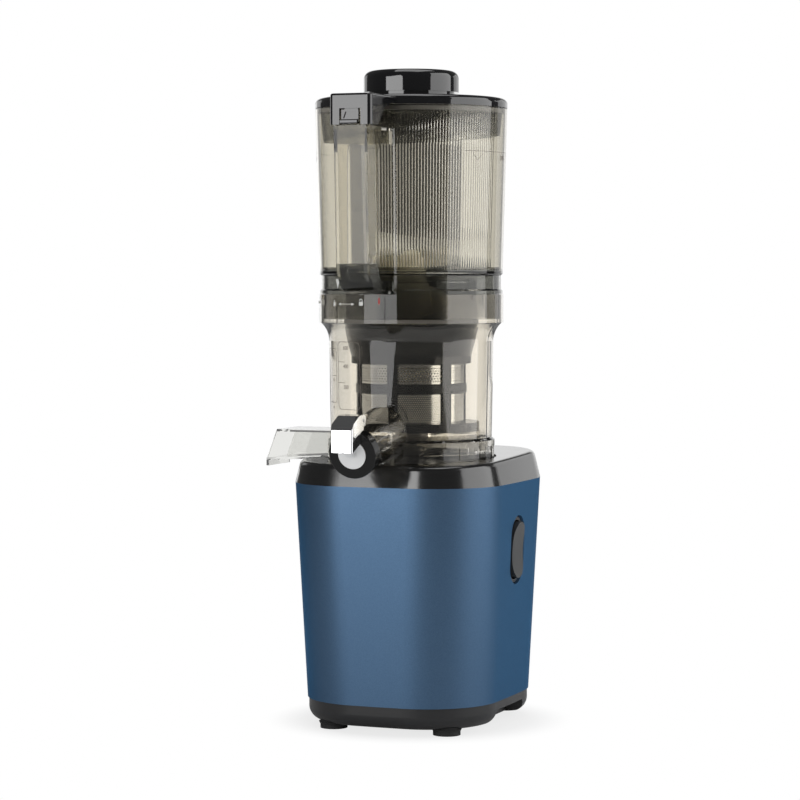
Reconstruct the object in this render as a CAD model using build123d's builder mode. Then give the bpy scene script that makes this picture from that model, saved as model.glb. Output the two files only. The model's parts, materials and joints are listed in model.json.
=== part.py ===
from build123d import *
import os
from math import atan, atan2, cos, degrees, pi, radians, sin, sqrt

# Cold press juicer, upright slow auger type.
# Set out about the juicing axis: x = y = 0 on the axis, -Y is the front, +X the right-hand side,
# z = 0 is the table.  All sizes are millimetres.

# ---------------------------------------------------------------- motor base
BASE_HALF_WIDTH = 75.7        # outline at the bottom of the painted shell
BASE_FLARE = 7.1              # the shell is this much wider on each side at its top
BASE_EXTRA_DEPTH = 12.6       # the outline is this much deeper than wide, on each side
BASE_CENTRE_Y = 17.0          # the base's middle lies behind the juicing axis
OUTLINE_BULGE = 3.1           # how far each side bows out between its corners
OUTLINE_CORNER = 56.0         # corner radius of the outline
FOOT_HEIGHT = 5.0             # table to underside of the pan
PAN_HEIGHT = 17.0
SHELL_HEIGHT = 165.0
DECK_HEIGHT = 16.0            # shell top to deck edge, at the front
DECK_RISE = 6.0               # the deck is this much higher at the back
DECK_LEAN = 8.0               # the deck's side would lean in by this much over its loft
DECK_EDGE = 4.5               # rounding of the deck's edge
WALL = 2.6                    # moulded wall of the base parts
LIP = 6.0                     # height of the lips that locate the casings
SLIP = 0.25                   # clearance of parts that slip into each other
TOUCH = 0.1                   # clearance of parts that are clipped or screwed together
SEAM = 0.45                   # clearance of the lips inside the casings
FREE = 0.4                    # clearance round parts that move

FOOT_X = 46.0
FOOT_FRONT_Y = -44.0
FOOT_REAR_Y = 88.0
FOOT_RADIUS = 11.5
FOOT_TAPER = 2.5
FOOT_REGISTER = 2.0           # depth of the socket that holds each foot
POST_RADIUS = 5.5
POST_HEIGHT = 30.0
PILLAR_RADIUS = 5.0
SCREW_RADIUS = 1.9
SCREW_HEAD_RADIUS = 3.8
SCREW_HEAD_HEIGHT = 2.4
SCOOP_LENGTH = 78.0           # hand scoop under the right and left side of the pan
SCOOP_HEIGHT = 10.5
SCOOP_DEPTH = 16.0
VENT_LENGTH = 34.0
VENT_WIDTH = 3.2
VENT_PITCH = 7.5
VENT_COUNT = 7
PAN_INSET = 0.8               # the pan stands in from the shell's foot
PAN_ROUND = 10.0
GLAND_RISE = 16.0             # gland of the supply cord, above the shell's foot
GLAND_RADIUS = 8.0
GLAND_FLANGE = 2.4
GLAND_BORE = 3.6
BOARD_Y = -42.0
BOARD_LENGTH = 62.0
BOARD_WIDTH = 30.0
BOARD_THICKNESS = 1.6
BOARD_POST = 7.0
FOOT_BORE_DEPTH = 3.0

# ---------------------------------------------------------------- rocker switch, right-hand side
SWITCH_Z = 135.0
SWITCH_WIDTH = 34.0
SWITCH_HEIGHT = 57.0
SWITCH_DISH = 3.6             # depth of the recess round the rocker
BEZEL_RIM = 3.0
ROCKER_WIDTH = 24.0
ROCKER_HEIGHT = 43.0
ROCKER_PROUD = 2.2
SWITCH_BACK = 17.0
ROCKER_PIVOT = 7.0            # pivot below the shell's surface
ROCKER_END_GAP = 1.4          # above and below the rocker, for its tilt
ROCKER_DISH = 2.0             # hollow of the rocker's face
ROCKER_DISH_RADIUS = 90.0
SWITCH_PIN_RADIUS = 1.5

# ---------------------------------------------------------------- drive train
MOTOR_Y = 25.0
MOTOR_RADIUS = 44.0
MOTOR_HEIGHT = 82.0
MOTOR_WALL = 2.5
MOTOR_SHAFT_RADIUS = 4.0
STATOR_BORE = 26.0
AIR_GAP = 0.8
STACK_HEIGHT = 46.0
FAN_RADIUS = 37.0
FAN_HEIGHT = 9.0
FAN_BLADES = 9
BEARING_RADIUS = 11.0
BEARING_HEIGHT = 7.0
GEAR_MODULE = 1.2
PINION_TEETH = 10
WHEEL_TEETH = 50
FACE_WIDTH = 9.0
GEARBOX_FLOOR = 3.0
COVER_PLATE = 4.0
GEARBOX_LENGTH = 118.0
GEARBOX_WIDTH = 88.0
GEARBOX_CORNER = 16.0
GEARBOX_X = -15.0
GEARBOX_Y = 7.0
GEARBOX_SCREW_INSET = 9.0
DRIVE_SHAFT_RADIUS = 7.0
DRIVE_BUSH_WALL = 3.0
DRIVE_HEX = 11.0              # across flats
HEX_LENGTH = 19.0
SPIGOT_HEIGHT = 11.0          # the drive spigot stands this far above the bowl seat
SPIGOT_RADIUS = 12.4
RUNNING = 0.06                # radial running clearance of shafts
STATOR_SLOTS = 12
PRESSURE_ANGLE = 20.0         # degrees
ADDENDUM = 0.85               # in modules
DEDENDUM = 1.2                # in modules
BACKLASH = 0.16               # taken off each flank
IDLER_PIN_RADIUS = 3.0
PIN_SEAT = 1.5
SHAFT_SHOULDER = 3.0

# ---------------------------------------------------------------- juice bowl
BOWL_BORE = 60.6              # inside radius at the shoulder
BOWL_DRAFT = 1.3              # the bowl is this much narrower at the foot
BOWL_WALL = 2.4
SKIRT_RADIUS = 63.9
SKIRT_HEIGHT = 19.0
BOWL_HEIGHT = 128.0           # seat to collar rim
COLLAR_HEIGHT = 21.5
COLLAR_RADIUS = 70.5
COLLAR_WALL = 2.9
SHOULDER_HEIGHT = 14.0
CHANNEL_Z = 9.8               # juice channel floor above the seat
ISLAND_Z = 24.0               # strainer seat above the bowl's seat
ISLAND_RADIUS = 53.2
HUB_WALL = 3.4
SEAT_CLEARANCE = 1.4          # round the skirt in the deck's recess
SKIRT_PANELS = 18
COLLAR_RIBS = (238.0, 273.7)  # azimuths of the two plain ribs

# juice spout, at the front
SPOUT_DROP = 12.4             # degrees below level
SPOUT_ROOT_RADIUS = 19.6
SPOUT_TIP_RADIUS = 16.9
SPOUT_WALL = 2.2
SPOUT_LENGTH = 64.0
MOUTH_Y = -118.1
MOUTH_Z = 11.9                # mouth centre above the seat
RING_RADIUS = 18.4
RING_LENGTH = 9.0
RING_LIP = 2.6
MOUTH_RADIUS = 11.2

# smart cap that closes the spout
CAP_WIDTH = 17.0
CAP_DEPTH = 22.0              # pivot to front face
CAP_HEIGHT = 27.0
CAP_PIVOT_RISE = 25.1         # pivot above the mouth's centre
CAP_BARREL = 4.4
CAP_LUG_WIDTH = 8.6
CAP_LUG_RADIUS = 2.6
CAP_PIN_RADIUS = 1.1
PLUG_DEPTH = 2.4
CAP_WALL = 1.8

# pulp chute, at the left
CHUTE_WIDTH = 40.0
CHUTE_TOP = 23.4              # above the seat
CHUTE_FLOOR_INNER = 4.4       # underside of its floor at the inner end, above the seat
CHUTE_FLOOR_OUTER = -1.1
CHUTE_REACH = 104.0            # axis to the top of the mouth
CHUTE_SLANT = 9.0            # the mouth's foot reaches further out
CHUTE_LIP = 4.0
CHUTE_WALL = 2.0
CHUTE_START = 21.0
PULP_HOLE_INNER = 23.0
PULP_HOLE_OUTER = 38.0
PULP_HOLE_WIDTH = 24.0

# ---------------------------------------------------------------- strainer
STRAINER_RADIUS = 42.0
STRAINER_WALL = 1.5
MESH_WALL = 0.5
STRAINER_FLANGE_RADIUS = 52.2
FLANGE_HEIGHT = 6.5
LOWER_WINDOW = 22.0
MIDDLE_RING = 7.7
UPPER_WINDOW = 14.3
TOP_RING = 6.3
FUNNEL_HEIGHT = 24.5
FUNNEL_RADIUS = 52.7
FUNNEL_WALL = 2.4
WINDOWS = 6
WINDOW_TURN = 1.5             # degrees
PILLAR_ANGLE = 11.4

# ---------------------------------------------------------------- auger
AUGER_CLEARANCE = 1.2
AUGER_ROOT_LOW = 31.0
AUGER_ROOT_MIDDLE = 18.0
AUGER_ROOT_HIGH = 11.0
FLIGHT_PITCH = 46.0
FLIGHT_THICKNESS = 5.0
FLIGHT_STARTS = 2
WING_RADIUS = 31.0
WING_PITCH = 62.0
AUGER_PEAK = 15.5             # tip above the hopper floor
WING_TOP = 11.0               # top of the feeding wing above the hopper floor
WING_AZIMUTH = 232.5          # world azimuth of the wing's leading end
SOCKET_RADIUS = 9.0

# ---------------------------------------------------------------- hopper
HOPPER_BASE_HEIGHT = 18.2
HOPPER_BASE_RADIUS = 70.0
HOPPER_GAP = 0.3              # between the bowl's rim and the hopper
WAIST_DEPTH = 1.3
SPIGOT_DEPTH = 19.0
SPIGOT_WALL = 2.4
FEED_RADIUS = 46.0
FEED_WALL = 2.4
FLOOR_FALL = 6.6              # the hopper's floor falls this far to the feed hole
HOPPER_HEIGHT = 122.5
HOPPER_RADIUS = 73.4          # at the rim
HOPPER_WALL = 2.2
TWIST = 32.0                  # degrees from locked to open
BAYONETS = 3
BAYONET_AZIMUTH = 301.3       # world azimuth of the first bayonet's stop
LUG_ANGLE = 8.0
LUG_HEIGHT = 4.0
LUG_DEPTH = 1.65
BAYONET_RIB_ANGLE = 27.5

# handle at the hopper's front
HANDLE_WIDTH = 26.0
HANDLE_FRONT = 121.0          # axis to the front face, at the top
HANDLE_RAKE = 4.5             # the front face comes in by this much towards the bottom
HANDLE_BACK = 98.0
HANDLE_WALL = 2.2
HANDLE_TOP_DROP = 18.0        # hopper rim to the top of the handle
HANDLE_ARM = 12.0             # height of the upper arm
ELBOW_JOINT = 4.5             # the clear handle meets the elbow this far above the hopper base
ELBOW_FOOT = 9.0              # height of the elbow where it meets the hopper base
CATCH_WIDTH = 20.0
CATCH_HEIGHT = 12.0
CATCH_DEPTH = 13.0

# ---------------------------------------------------------------- lid
LID_RADIUS = 73.6
LID_THICKNESS = 7.5
LID_WALL = 2.4
LID_EDGE = 4.0
LID_SKIRT_FRONT = 30.0
LID_SKIRT_REAR = 14.0
LID_SKIRT_TAPER = 2.5
KNOB_RADIUS = 36.4
KNOB_HEIGHT = 16.5
KNOB_EDGE = 6.0
KNOB_NECK = 4.8
BEAK_WIDTH = 33.0
BEAK_FRONT = 121.5
BEAK_HEIGHT = 22.8
BEAK_DEPTH = 14.0
BEAK_WALL = 2.0
LATCH_WIDTH = 13.4
LATCH_SLIT = 1.6
LATCH_LEDGE = 3.0
LATCH_SWING = 8.0             # degrees
LATCH_PIN_RADIUS = 1.0
LATCH_BARREL = 2.0
HINGE_Y = 79.0
HINGE_RADIUS = 3.6
HINGE_DROP = 1.1              # hinge axis below the hopper's rim
HINGE_PIN_RADIUS = 1.6
HINGE_WIDTH = 34.0
HINGE_KNUCKLE = 16.0

# ---------------------------------------------------------------- levels worked out from the sizes
PAN_Z = FOOT_HEIGHT
SHELL_Z = PAN_Z + PAN_HEIGHT
SHELL_TOP = SHELL_Z + SHELL_HEIGHT
DECK_Z = SHELL_TOP + DECK_HEIGHT
SEAT_Z = DECK_Z - 1.0
BASE_TOP_HALF_WIDTH = BASE_HALF_WIDTH + BASE_FLARE
BASE_FRONT = BASE_CENTRE_Y - BASE_TOP_HALF_WIDTH - BASE_EXTRA_DEPTH
BASE_BACK = BASE_CENTRE_Y + BASE_TOP_HALF_WIDTH + BASE_EXTRA_DEPTH
DECK_SLOPE = degrees(atan(DECK_RISE / (BASE_BACK - BASE_FRONT)))

BOWL_Z = SEAT_Z + TOUCH
ISLAND_TOP = BOWL_Z + ISLAND_Z
BOWL_RIM = BOWL_Z + BOWL_HEIGHT
COLLAR_Z = BOWL_RIM - COLLAR_HEIGHT
SHOULDER_Z = COLLAR_Z - SHOULDER_HEIGHT
COLLAR_BORE = COLLAR_RADIUS - COLLAR_WALL

STRAINER_Z = ISLAND_TOP + TOUCH
LOWER_WINDOW_Z = STRAINER_Z + FLANGE_HEIGHT
MIDDLE_Z = LOWER_WINDOW_Z + LOWER_WINDOW
UPPER_WINDOW_Z = MIDDLE_Z + MIDDLE_RING
TOP_RING_Z = UPPER_WINDOW_Z + UPPER_WINDOW
FUNNEL_Z = TOP_RING_Z + TOP_RING
STRAINER_TOP = FUNNEL_Z + FUNNEL_HEIGHT
MESH_RADIUS = STRAINER_RADIUS - STRAINER_WALL - SLIP
MESH_BORE = MESH_RADIUS - MESH_WALL

HOPPER_BASE_Z = BOWL_RIM + HOPPER_GAP
HOPPER_FLOOR = HOPPER_BASE_Z + HOPPER_BASE_HEIGHT
HOPPER_RIM = HOPPER_FLOOR + HOPPER_HEIGHT
LID_Z = HOPPER_RIM + TOUCH
LID_TOP = LID_Z + LID_THICKNESS
KNOB_Z = LID_TOP + KNOB_NECK
HINGE_Z = HOPPER_RIM - HINGE_DROP

DRIVE_TIP = SEAT_Z + SPIGOT_HEIGHT + HEX_LENGTH
WHEEL_DISTANCE = GEAR_MODULE * (PINION_TEETH + WHEEL_TEETH) / 2
IDLER_X = -sqrt(WHEEL_DISTANCE ** 2 - (MOTOR_Y / 2) ** 2)
IDLER_Y = MOTOR_Y / 2
GEARBOX_TOP = SHELL_TOP - 25.0
GEARBOX_HEIGHT = 2 * FACE_WIDTH + 18.0
GEARBOX_Z = GEARBOX_TOP - COVER_PLATE - GEARBOX_HEIGHT
FIRST_STAGE_Z = GEARBOX_Z + GEARBOX_FLOOR + 3.0
SECOND_STAGE_Z = FIRST_STAGE_Z + FACE_WIDTH + 2.5
MOTOR_TOP = GEARBOX_Z - TOUCH
MOTOR_Z = MOTOR_TOP - MOTOR_HEIGHT

PIECES = {}
UP = (Align.CENTER, Align.CENTER, Align.MIN)
DOWN = (Align.CENTER, Align.CENTER, Align.MAX)


def outline(z, inset, half_width=BASE_HALF_WIDTH):
    """The base's outline at height z: four bowed sides with large rounded corners."""
    w = half_width - inset
    d = half_width + BASE_EXTRA_DEPTH - inset
    corner_x = w - OUTLINE_BULGE
    corner_y = d - OUTLINE_BULGE
    with BuildSketch(Plane((0, BASE_CENTRE_Y, z))) as shape:
        with BuildLine():
            ThreePointArc((corner_x, -corner_y), (w, 0), (corner_x, corner_y))
            ThreePointArc((corner_x, corner_y), (0, d), (-corner_x, corner_y))
            ThreePointArc((-corner_x, corner_y), (-w, 0), (-corner_x, -corner_y))
            ThreePointArc((-corner_x, -corner_y), (0, -d), (corner_x, -corner_y))
        make_face()
        fillet(shape.vertices(), OUTLINE_CORNER - inset)
    return shape.sketch


def shell_half_width(z):
    """Half width of the painted shell at height z."""
    return BASE_HALF_WIDTH + BASE_FLARE * (z - SHELL_Z) / SHELL_HEIGHT


def flared(z_low, z_high, inset):
    """The flared body of the base between two heights, drawn in by inset."""
    with BuildPart() as body:
        loft([outline(z_low, inset, shell_half_width(z_low)),
              outline(z_high, inset, shell_half_width(z_high))], ruled=True)
    return body.part


def ring(radius, bore, z, height):
    """A plain ring about the juicing axis."""
    with BuildPart(Plane.XY.offset(z)) as body:
        Cylinder(radius, height, align=UP)
        Cylinder(bore, height, align=UP, mode=Mode.SUBTRACT)
    return body.part


def turned(*points):
    """A solid turned about the juicing axis from a closed profile of (radius, height) points."""
    with BuildPart() as body:
        with BuildSketch(Plane.XZ):
            with BuildLine():
                Polyline(*points, close=True)
            make_face()
        revolve(axis=Axis.Z)
    return body.part


def keep(name, builder):
    """Label a finished piece and list it for export."""
    builder.part.label = name
    PIECES[name] = builder


# ================================================================ motor base
FEET = [(x, y) for x in (-FOOT_X, FOOT_X) for y in (FOOT_FRONT_Y, FOOT_REAR_Y)]
POST_HOLE = SCREW_RADIUS + TOUCH

# posts inside the shell that take the foot screws, each with a web to the nearest end wall
POST_FLOOR = SHELL_Z + LIP + 0.3
POST_MIDDLE = POST_FLOOR + POST_HEIGHT / 2
with BuildPart() as shell_posts:
    for foot_x, foot_y in FEET:
        end_wall = BASE_FRONT if foot_y < BASE_CENTRE_Y else BASE_BACK
        with Locations((foot_x, foot_y, POST_MIDDLE)):
            Cylinder(POST_RADIUS, POST_HEIGHT)
        with Locations((foot_x, (foot_y + end_wall) / 2, POST_MIDDLE)):
            Box(WALL, abs(end_wall - foot_y), POST_HEIGHT)
    with Locations(*[(x, y, POST_MIDDLE) for x, y in FEET]):
        Cylinder(POST_HOLE, POST_HEIGHT, mode=Mode.SUBTRACT)
    add(flared(POST_FLOOR, SHELL_TOP, WALL / 2), mode=Mode.INTERSECT)

# the switch sits on its own plane, square to the shell's leaning side wall
SIDE_LEAN = degrees(atan(BASE_FLARE / SHELL_HEIGHT))
SWITCH_PLANE = Plane(origin=(shell_half_width(SWITCH_Z), BASE_CENTRE_Y, SWITCH_Z),
                     x_dir=(0, 1, 0),
                     z_dir=(cos(radians(SIDE_LEAN)), 0, -sin(radians(SIDE_LEAN))))
SWITCH_OPENING_WIDTH = SWITCH_WIDTH - 2 * BEZEL_RIM
SWITCH_OPENING_HEIGHT = SWITCH_HEIGHT - 2 * BEZEL_RIM

# gland for the supply cord, low in the leaning back wall
GLAND_Z = SHELL_Z + GLAND_RISE
GLAND_PLANE = Plane(origin=(0, BASE_CENTRE_Y + shell_half_width(GLAND_Z) + BASE_EXTRA_DEPTH, GLAND_Z),
                    x_dir=(-1, 0, 0),
                    z_dir=(0, cos(radians(SIDE_LEAN)), -sin(radians(SIDE_LEAN))))

with BuildPart() as base_shell:
    add(flared(SHELL_Z, SHELL_TOP, 0))
    add(flared(SHELL_Z, SHELL_TOP, WALL), mode=Mode.SUBTRACT)
    add(shell_posts.part)
    # dished rim round the switch
    with BuildSketch(SWITCH_PLANE.offset(-WALL)):
        SlotOverall(SWITCH_HEIGHT, SWITCH_WIDTH, rotation=90)
    extrude(amount=-SWITCH_DISH + WALL)
    with BuildSketch(SWITCH_PLANE.offset(3)):
        SlotOverall(SWITCH_HEIGHT - 2, SWITCH_WIDTH - 2, rotation=90)
    with BuildSketch(SWITCH_PLANE.offset(-SWITCH_DISH + 1)):
        SlotOverall(SWITCH_OPENING_HEIGHT, SWITCH_OPENING_WIDTH, rotation=90)
    loft(ruled=True, mode=Mode.SUBTRACT)
    with BuildSketch(SWITCH_PLANE.offset(3)):
        SlotOverall(SWITCH_OPENING_HEIGHT, SWITCH_OPENING_WIDTH, rotation=90)
    extrude(amount=-20, mode=Mode.SUBTRACT)
    # hole for the cord gland, low in the back wall
    with BuildSketch(GLAND_PLANE.offset(5)):
        Circle(GLAND_RADIUS)
    extrude(amount=-12, mode=Mode.SUBTRACT)
keep("base_shell", base_shell)

# deck of the base: a low moulded cover, its top sloping up to the back
DECK_PLANE = Plane(origin=(0, BASE_FRONT, DECK_Z)).rotated((DECK_SLOPE, 0, 0))
DECK_LOFT_TOP = DECK_Z + 3 * DECK_RISE
SEAT_RADIUS = SKIRT_RADIUS + SEAT_CLEARANCE
GROOVE_WIDTH = CHUTE_WIDTH + 2 * SEAT_CLEARANCE
RIM_INSET = 2 * WALL + SEAM
GEARBOX_SCREWS = [(GEARBOX_X + sx * (GEARBOX_LENGTH / 2 - GEARBOX_SCREW_INSET),
                   GEARBOX_Y + sy * (GEARBOX_WIDTH / 2 - GEARBOX_SCREW_INSET))
                  for sx in (-1, 1) for sy in (-1, 1)]

with BuildPart() as deck_block:
    loft([outline(SHELL_TOP, 0, BASE_TOP_HALF_WIDTH),
          outline(DECK_LOFT_TOP, DECK_LEAN, BASE_TOP_HALF_WIDTH)], ruled=True)
    split(bisect_by=DECK_PLANE, keep=Keep.BOTTOM)
    fillet(deck_block.faces().sort_by(Axis.Z)[-1].edges(), DECK_EDGE)

with BuildPart() as deck_hollow:
    loft([outline(SHELL_TOP - 1, WALL, BASE_TOP_HALF_WIDTH),
          outline(DECK_LOFT_TOP, WALL + DECK_LEAN, BASE_TOP_HALF_WIDTH)], ruled=True)
    split(bisect_by=DECK_PLANE.offset(-WALL), keep=Keep.BOTTOM)

# the well under the bowl's seat and the chute's groove, and the pillars that carry the gearbox
with BuildPart() as deck_well:
    with Locations((0, 0, SEAT_Z - WALL)):
        Cylinder(SEAT_RADIUS + WALL, DECK_HEIGHT, align=UP)
        Box(2 * BASE_TOP_HALF_WIDTH, GROOVE_WIDTH + 2 * WALL, DECK_HEIGHT,
            align=(Align.MAX, Align.CENTER, Align.MIN))
    with Locations(*[(x, y, GEARBOX_TOP + TOUCH) for x, y in GEARBOX_SCREWS]):
        Cylinder(PILLAR_RADIUS, DECK_Z + DECK_RISE - GEARBOX_TOP, align=UP)
    split(bisect_by=DECK_PLANE.offset(-WALL / 2), keep=Keep.BOTTOM)
    with Locations(*[(x, y, GEARBOX_TOP) for x, y in GEARBOX_SCREWS]):
        Cylinder(POST_HOLE, 24, align=UP, mode=Mode.SUBTRACT)
    add(flared(GEARBOX_TOP, DECK_LOFT_TOP, DECK_LEAN), mode=Mode.INTERSECT)

with BuildPart() as top_cover:
    add(deck_block.part)
    add(deck_hollow.part, mode=Mode.SUBTRACT)
    add(deck_well.part)
    # lip that drops inside the shell
    add(flared(SHELL_TOP - LIP, SHELL_TOP + WALL, WALL + SEAM))
    add(flared(SHELL_TOP, SHELL_TOP + WALL, WALL / 2))
    add(flared(SHELL_TOP - LIP, SHELL_TOP + WALL, RIM_INSET), mode=Mode.SUBTRACT)
    add(deck_well.part)
    # seat of the bowl and groove of the chute
    with Locations((0, 0, SEAT_Z)):
        Cylinder(SEAT_RADIUS, 2 * DECK_HEIGHT, align=UP,
                 mode=Mode.SUBTRACT)
        Box(2 * BASE_TOP_HALF_WIDTH, GROOVE_WIDTH, 2 * DECK_HEIGHT,
            align=(Align.MAX, Align.CENTER, Align.MIN), mode=Mode.SUBTRACT)
        Cylinder(SPIGOT_RADIUS, SPIGOT_HEIGHT, align=UP)
    fillet(top_cover.edges().filter_by(GeomType.CIRCLE).filter_by(
        lambda e: abs(e.radius - SPIGOT_RADIUS) < 0.01).sort_by(Axis.Z)[-1], 1.0)
    with Locations((0, 0, SEAT_Z + SPIGOT_HEIGHT)):
        CounterBoreHole(DRIVE_SHAFT_RADIUS + 1.5, DRIVE_SHAFT_RADIUS + 3.4, 5, depth=60)
keep("top_cover", top_cover)

# pan that closes the base from below
PAN_HALF_WIDTH = BASE_HALF_WIDTH - PAN_INSET
with BuildPart() as pan_block:
    extrude(outline(PAN_Z, 0, PAN_HALF_WIDTH), amount=PAN_HEIGHT - TOUCH)
    fillet(pan_block.faces().sort_by(Axis.Z)[0].edges(), PAN_ROUND)

with BuildPart() as pan_hollow:
    extrude(outline(PAN_Z + WALL, WALL, PAN_HALF_WIDTH), amount=PAN_HEIGHT)
    fillet(pan_hollow.faces().sort_by(Axis.Z)[0].edges(), PAN_ROUND - WALL)

SCOOP_TOP_LENGTH = SCOOP_LENGTH - 2 * SCOOP_HEIGHT


def scoops(grow):
    """The two hand scoops, grown outwards by grow to give the walls behind them."""
    with BuildPart() as body:
        for side in (-1, 1):
            with BuildSketch(Plane(origin=(side * (PAN_HALF_WIDTH + 5), BASE_CENTRE_Y, PAN_Z),
                                   x_dir=(0, 1, 0), z_dir=(side, 0, 0))) as profile:
                with BuildLine():
                    Polyline((-SCOOP_LENGTH / 2 - grow, side * -5), (SCOOP_LENGTH / 2 + grow, side * -5),
                             (SCOOP_TOP_LENGTH / 2 + grow, side * (SCOOP_HEIGHT + grow)),
                             (-SCOOP_TOP_LENGTH / 2 - grow, side * (SCOOP_HEIGHT + grow)), close=True)
                make_face()
            extrude(amount=-(SCOOP_DEPTH + 5 + grow))
    return body.part


with BuildPart() as pan_walls:
    add(scoops(WALL))
    add(pan_block.part, mode=Mode.INTERSECT)

POST_TOP = SHELL_Z + LIP
PAN_POST_RADIUS = POST_RADIUS + 0.5
BOARD_Z = PAN_Z + WALL + BOARD_POST
BOARD_FEET = [(sx * (BOARD_LENGTH / 2 - 4), BOARD_Y + sy * (BOARD_WIDTH / 2 - 4))
              for sx in (-1, 1) for sy in (-1, 1)]

with BuildPart() as bottom_pan:
    add(pan_block.part)
    add(pan_hollow.part, mode=Mode.SUBTRACT)
    add(pan_walls.part)
    # lip that stands up inside the shell
    add(flared(SHELL_Z - WALL, POST_TOP, WALL + SEAM))
    add(flared(SHELL_Z - WALL, SHELL_Z - TOUCH, WALL / 2 + 1))
    add(flared(SHELL_Z - WALL, POST_TOP, RIM_INSET), mode=Mode.SUBTRACT)
    add(pan_walls.part)
    # posts for the feet's screws and for the control board
    with Locations(*[(x, y, PAN_Z + WALL / 2) for x, y in FEET]):
        Cylinder(PAN_POST_RADIUS, POST_TOP - PAN_Z - WALL / 2, align=UP)
    with Locations(*[(x, y, PAN_Z + WALL / 2) for x, y in BOARD_FEET]):
        Cylinder(3, BOARD_Z - PAN_Z - WALL / 2 - TOUCH, align=UP)
    add(scoops(0), mode=Mode.SUBTRACT)
    with Locations(*[(x, y, PAN_Z) for x, y in FEET]):
        Cylinder(FOOT_RADIUS - 1, 2 * FOOT_REGISTER, mode=Mode.SUBTRACT)
        Cylinder(POST_HOLE, 2 * PAN_HEIGHT + 2 * LIP, mode=Mode.SUBTRACT)
    # air slots under the fan
    with BuildSketch(Plane.XY.offset(PAN_Z - 1)):
        with Locations((0, MOTOR_Y)):
            with GridLocations(VENT_LENGTH + 6, VENT_PITCH, 2, VENT_COUNT):
                SlotOverall(VENT_LENGTH, VENT_WIDTH)
    extrude(amount=WALL + 2, mode=Mode.SUBTRACT)
keep("bottom_pan", bottom_pan)

with BuildPart() as rubber_feet:
    with Locations(*[(x, y, 0) for x, y in FEET]):
        Cone(FOOT_RADIUS - FOOT_TAPER, FOOT_RADIUS, FOOT_HEIGHT, align=UP)
        Cylinder(FOOT_RADIUS - 1 - TOUCH, FOOT_HEIGHT + FOOT_REGISTER - TOUCH, align=UP)
        Cylinder(SCREW_HEAD_RADIUS + 0.6, 2 * FOOT_BORE_DEPTH, mode=Mode.SUBTRACT)
        Cylinder(POST_HOLE, 4 * FOOT_HEIGHT, mode=Mode.SUBTRACT)
keep("rubber_feet", rubber_feet)

with BuildPart() as foot_screws:
    with Locations(*[(x, y, FOOT_BORE_DEPTH) for x, y in FEET]):
        Cylinder(SCREW_HEAD_RADIUS, SCREW_HEAD_HEIGHT, align=DOWN)
        Cylinder(SCREW_RADIUS, POST_FLOOR + 16 - FOOT_BORE_DEPTH, align=UP)
keep("foot_screws", foot_screws)

with BuildPart() as control_board:
    with Locations((0, BOARD_Y, BOARD_Z)):
        Box(BOARD_LENGTH, BOARD_WIDTH, BOARD_THICKNESS, align=UP)
    with Locations((-18, BOARD_Y, BOARD_Z)):
        Cylinder(6, 17, align=UP)
    with Locations((0, BOARD_Y - 3, BOARD_Z)):
        Box(15, 12, 13, align=UP)
    with Locations((19, BOARD_Y, BOARD_Z)):
        Box(12, 20, 15, align=UP)
keep("control_board", control_board)

with BuildPart() as cord_gland:
    with BuildSketch(GLAND_PLANE.offset(TOUCH)):
        Circle(GLAND_RADIUS + 2.5)
    extrude(amount=GLAND_FLANGE)
    fillet(cord_gland.faces().sort_by(Axis.Y)[-1].edges(), 1.0)
    with BuildSketch(GLAND_PLANE.offset(TOUCH)):
        Circle(GLAND_RADIUS - TOUCH)
    extrude(amount=-WALL - 2 * TOUCH - 0.4)
    with BuildSketch(GLAND_PLANE.offset(-WALL - TOUCH - 0.4)):
        Circle(GLAND_RADIUS + 1.5)
    extrude(amount=-GLAND_FLANGE)
    with BuildSketch(GLAND_PLANE.offset(10)):
        Circle(GLAND_BORE)
    extrude(amount=-25, mode=Mode.SUBTRACT)
keep("cord_gland", cord_gland)

# ================================================================ rocker switch
def across_switch(offset):
    """The upright plane across the switch, the given way out from its own plane."""
    return Plane(origin=SWITCH_PLANE.offset(offset).origin, x_dir=SWITCH_PLANE.z_dir, z_dir=(0, 1, 0))


def switch_pill(offset, height, width):
    """An upright pill on the switch's plane, offset outwards."""
    with BuildSketch(SWITCH_PLANE.offset(offset)) as pill:
        SlotOverall(height, width, rotation=90)
    return pill.sketch


with BuildPart() as switch_body:
    extrude(switch_pill(-SWITCH_DISH - TOUCH, SWITCH_OPENING_HEIGHT + 3, SWITCH_OPENING_WIDTH + 3),
            amount=-SWITCH_BACK + SWITCH_DISH)
    extrude(switch_pill(-SWITCH_DISH - TOUCH, SWITCH_OPENING_HEIGHT - 2 * SLIP,
                        SWITCH_OPENING_WIDTH - 2 * SLIP), amount=2.0)
    extrude(switch_pill(3, ROCKER_HEIGHT + 2 * ROCKER_END_GAP, ROCKER_WIDTH + 2 * FREE),
            amount=-SWITCH_BACK, mode=Mode.SUBTRACT)
    with BuildSketch(across_switch(-ROCKER_PIVOT)):
        Circle(SWITCH_PIN_RADIUS + RUNNING)
    extrude(amount=SWITCH_OPENING_WIDTH, both=True, mode=Mode.SUBTRACT)
keep("switch_body", switch_body)

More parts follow.
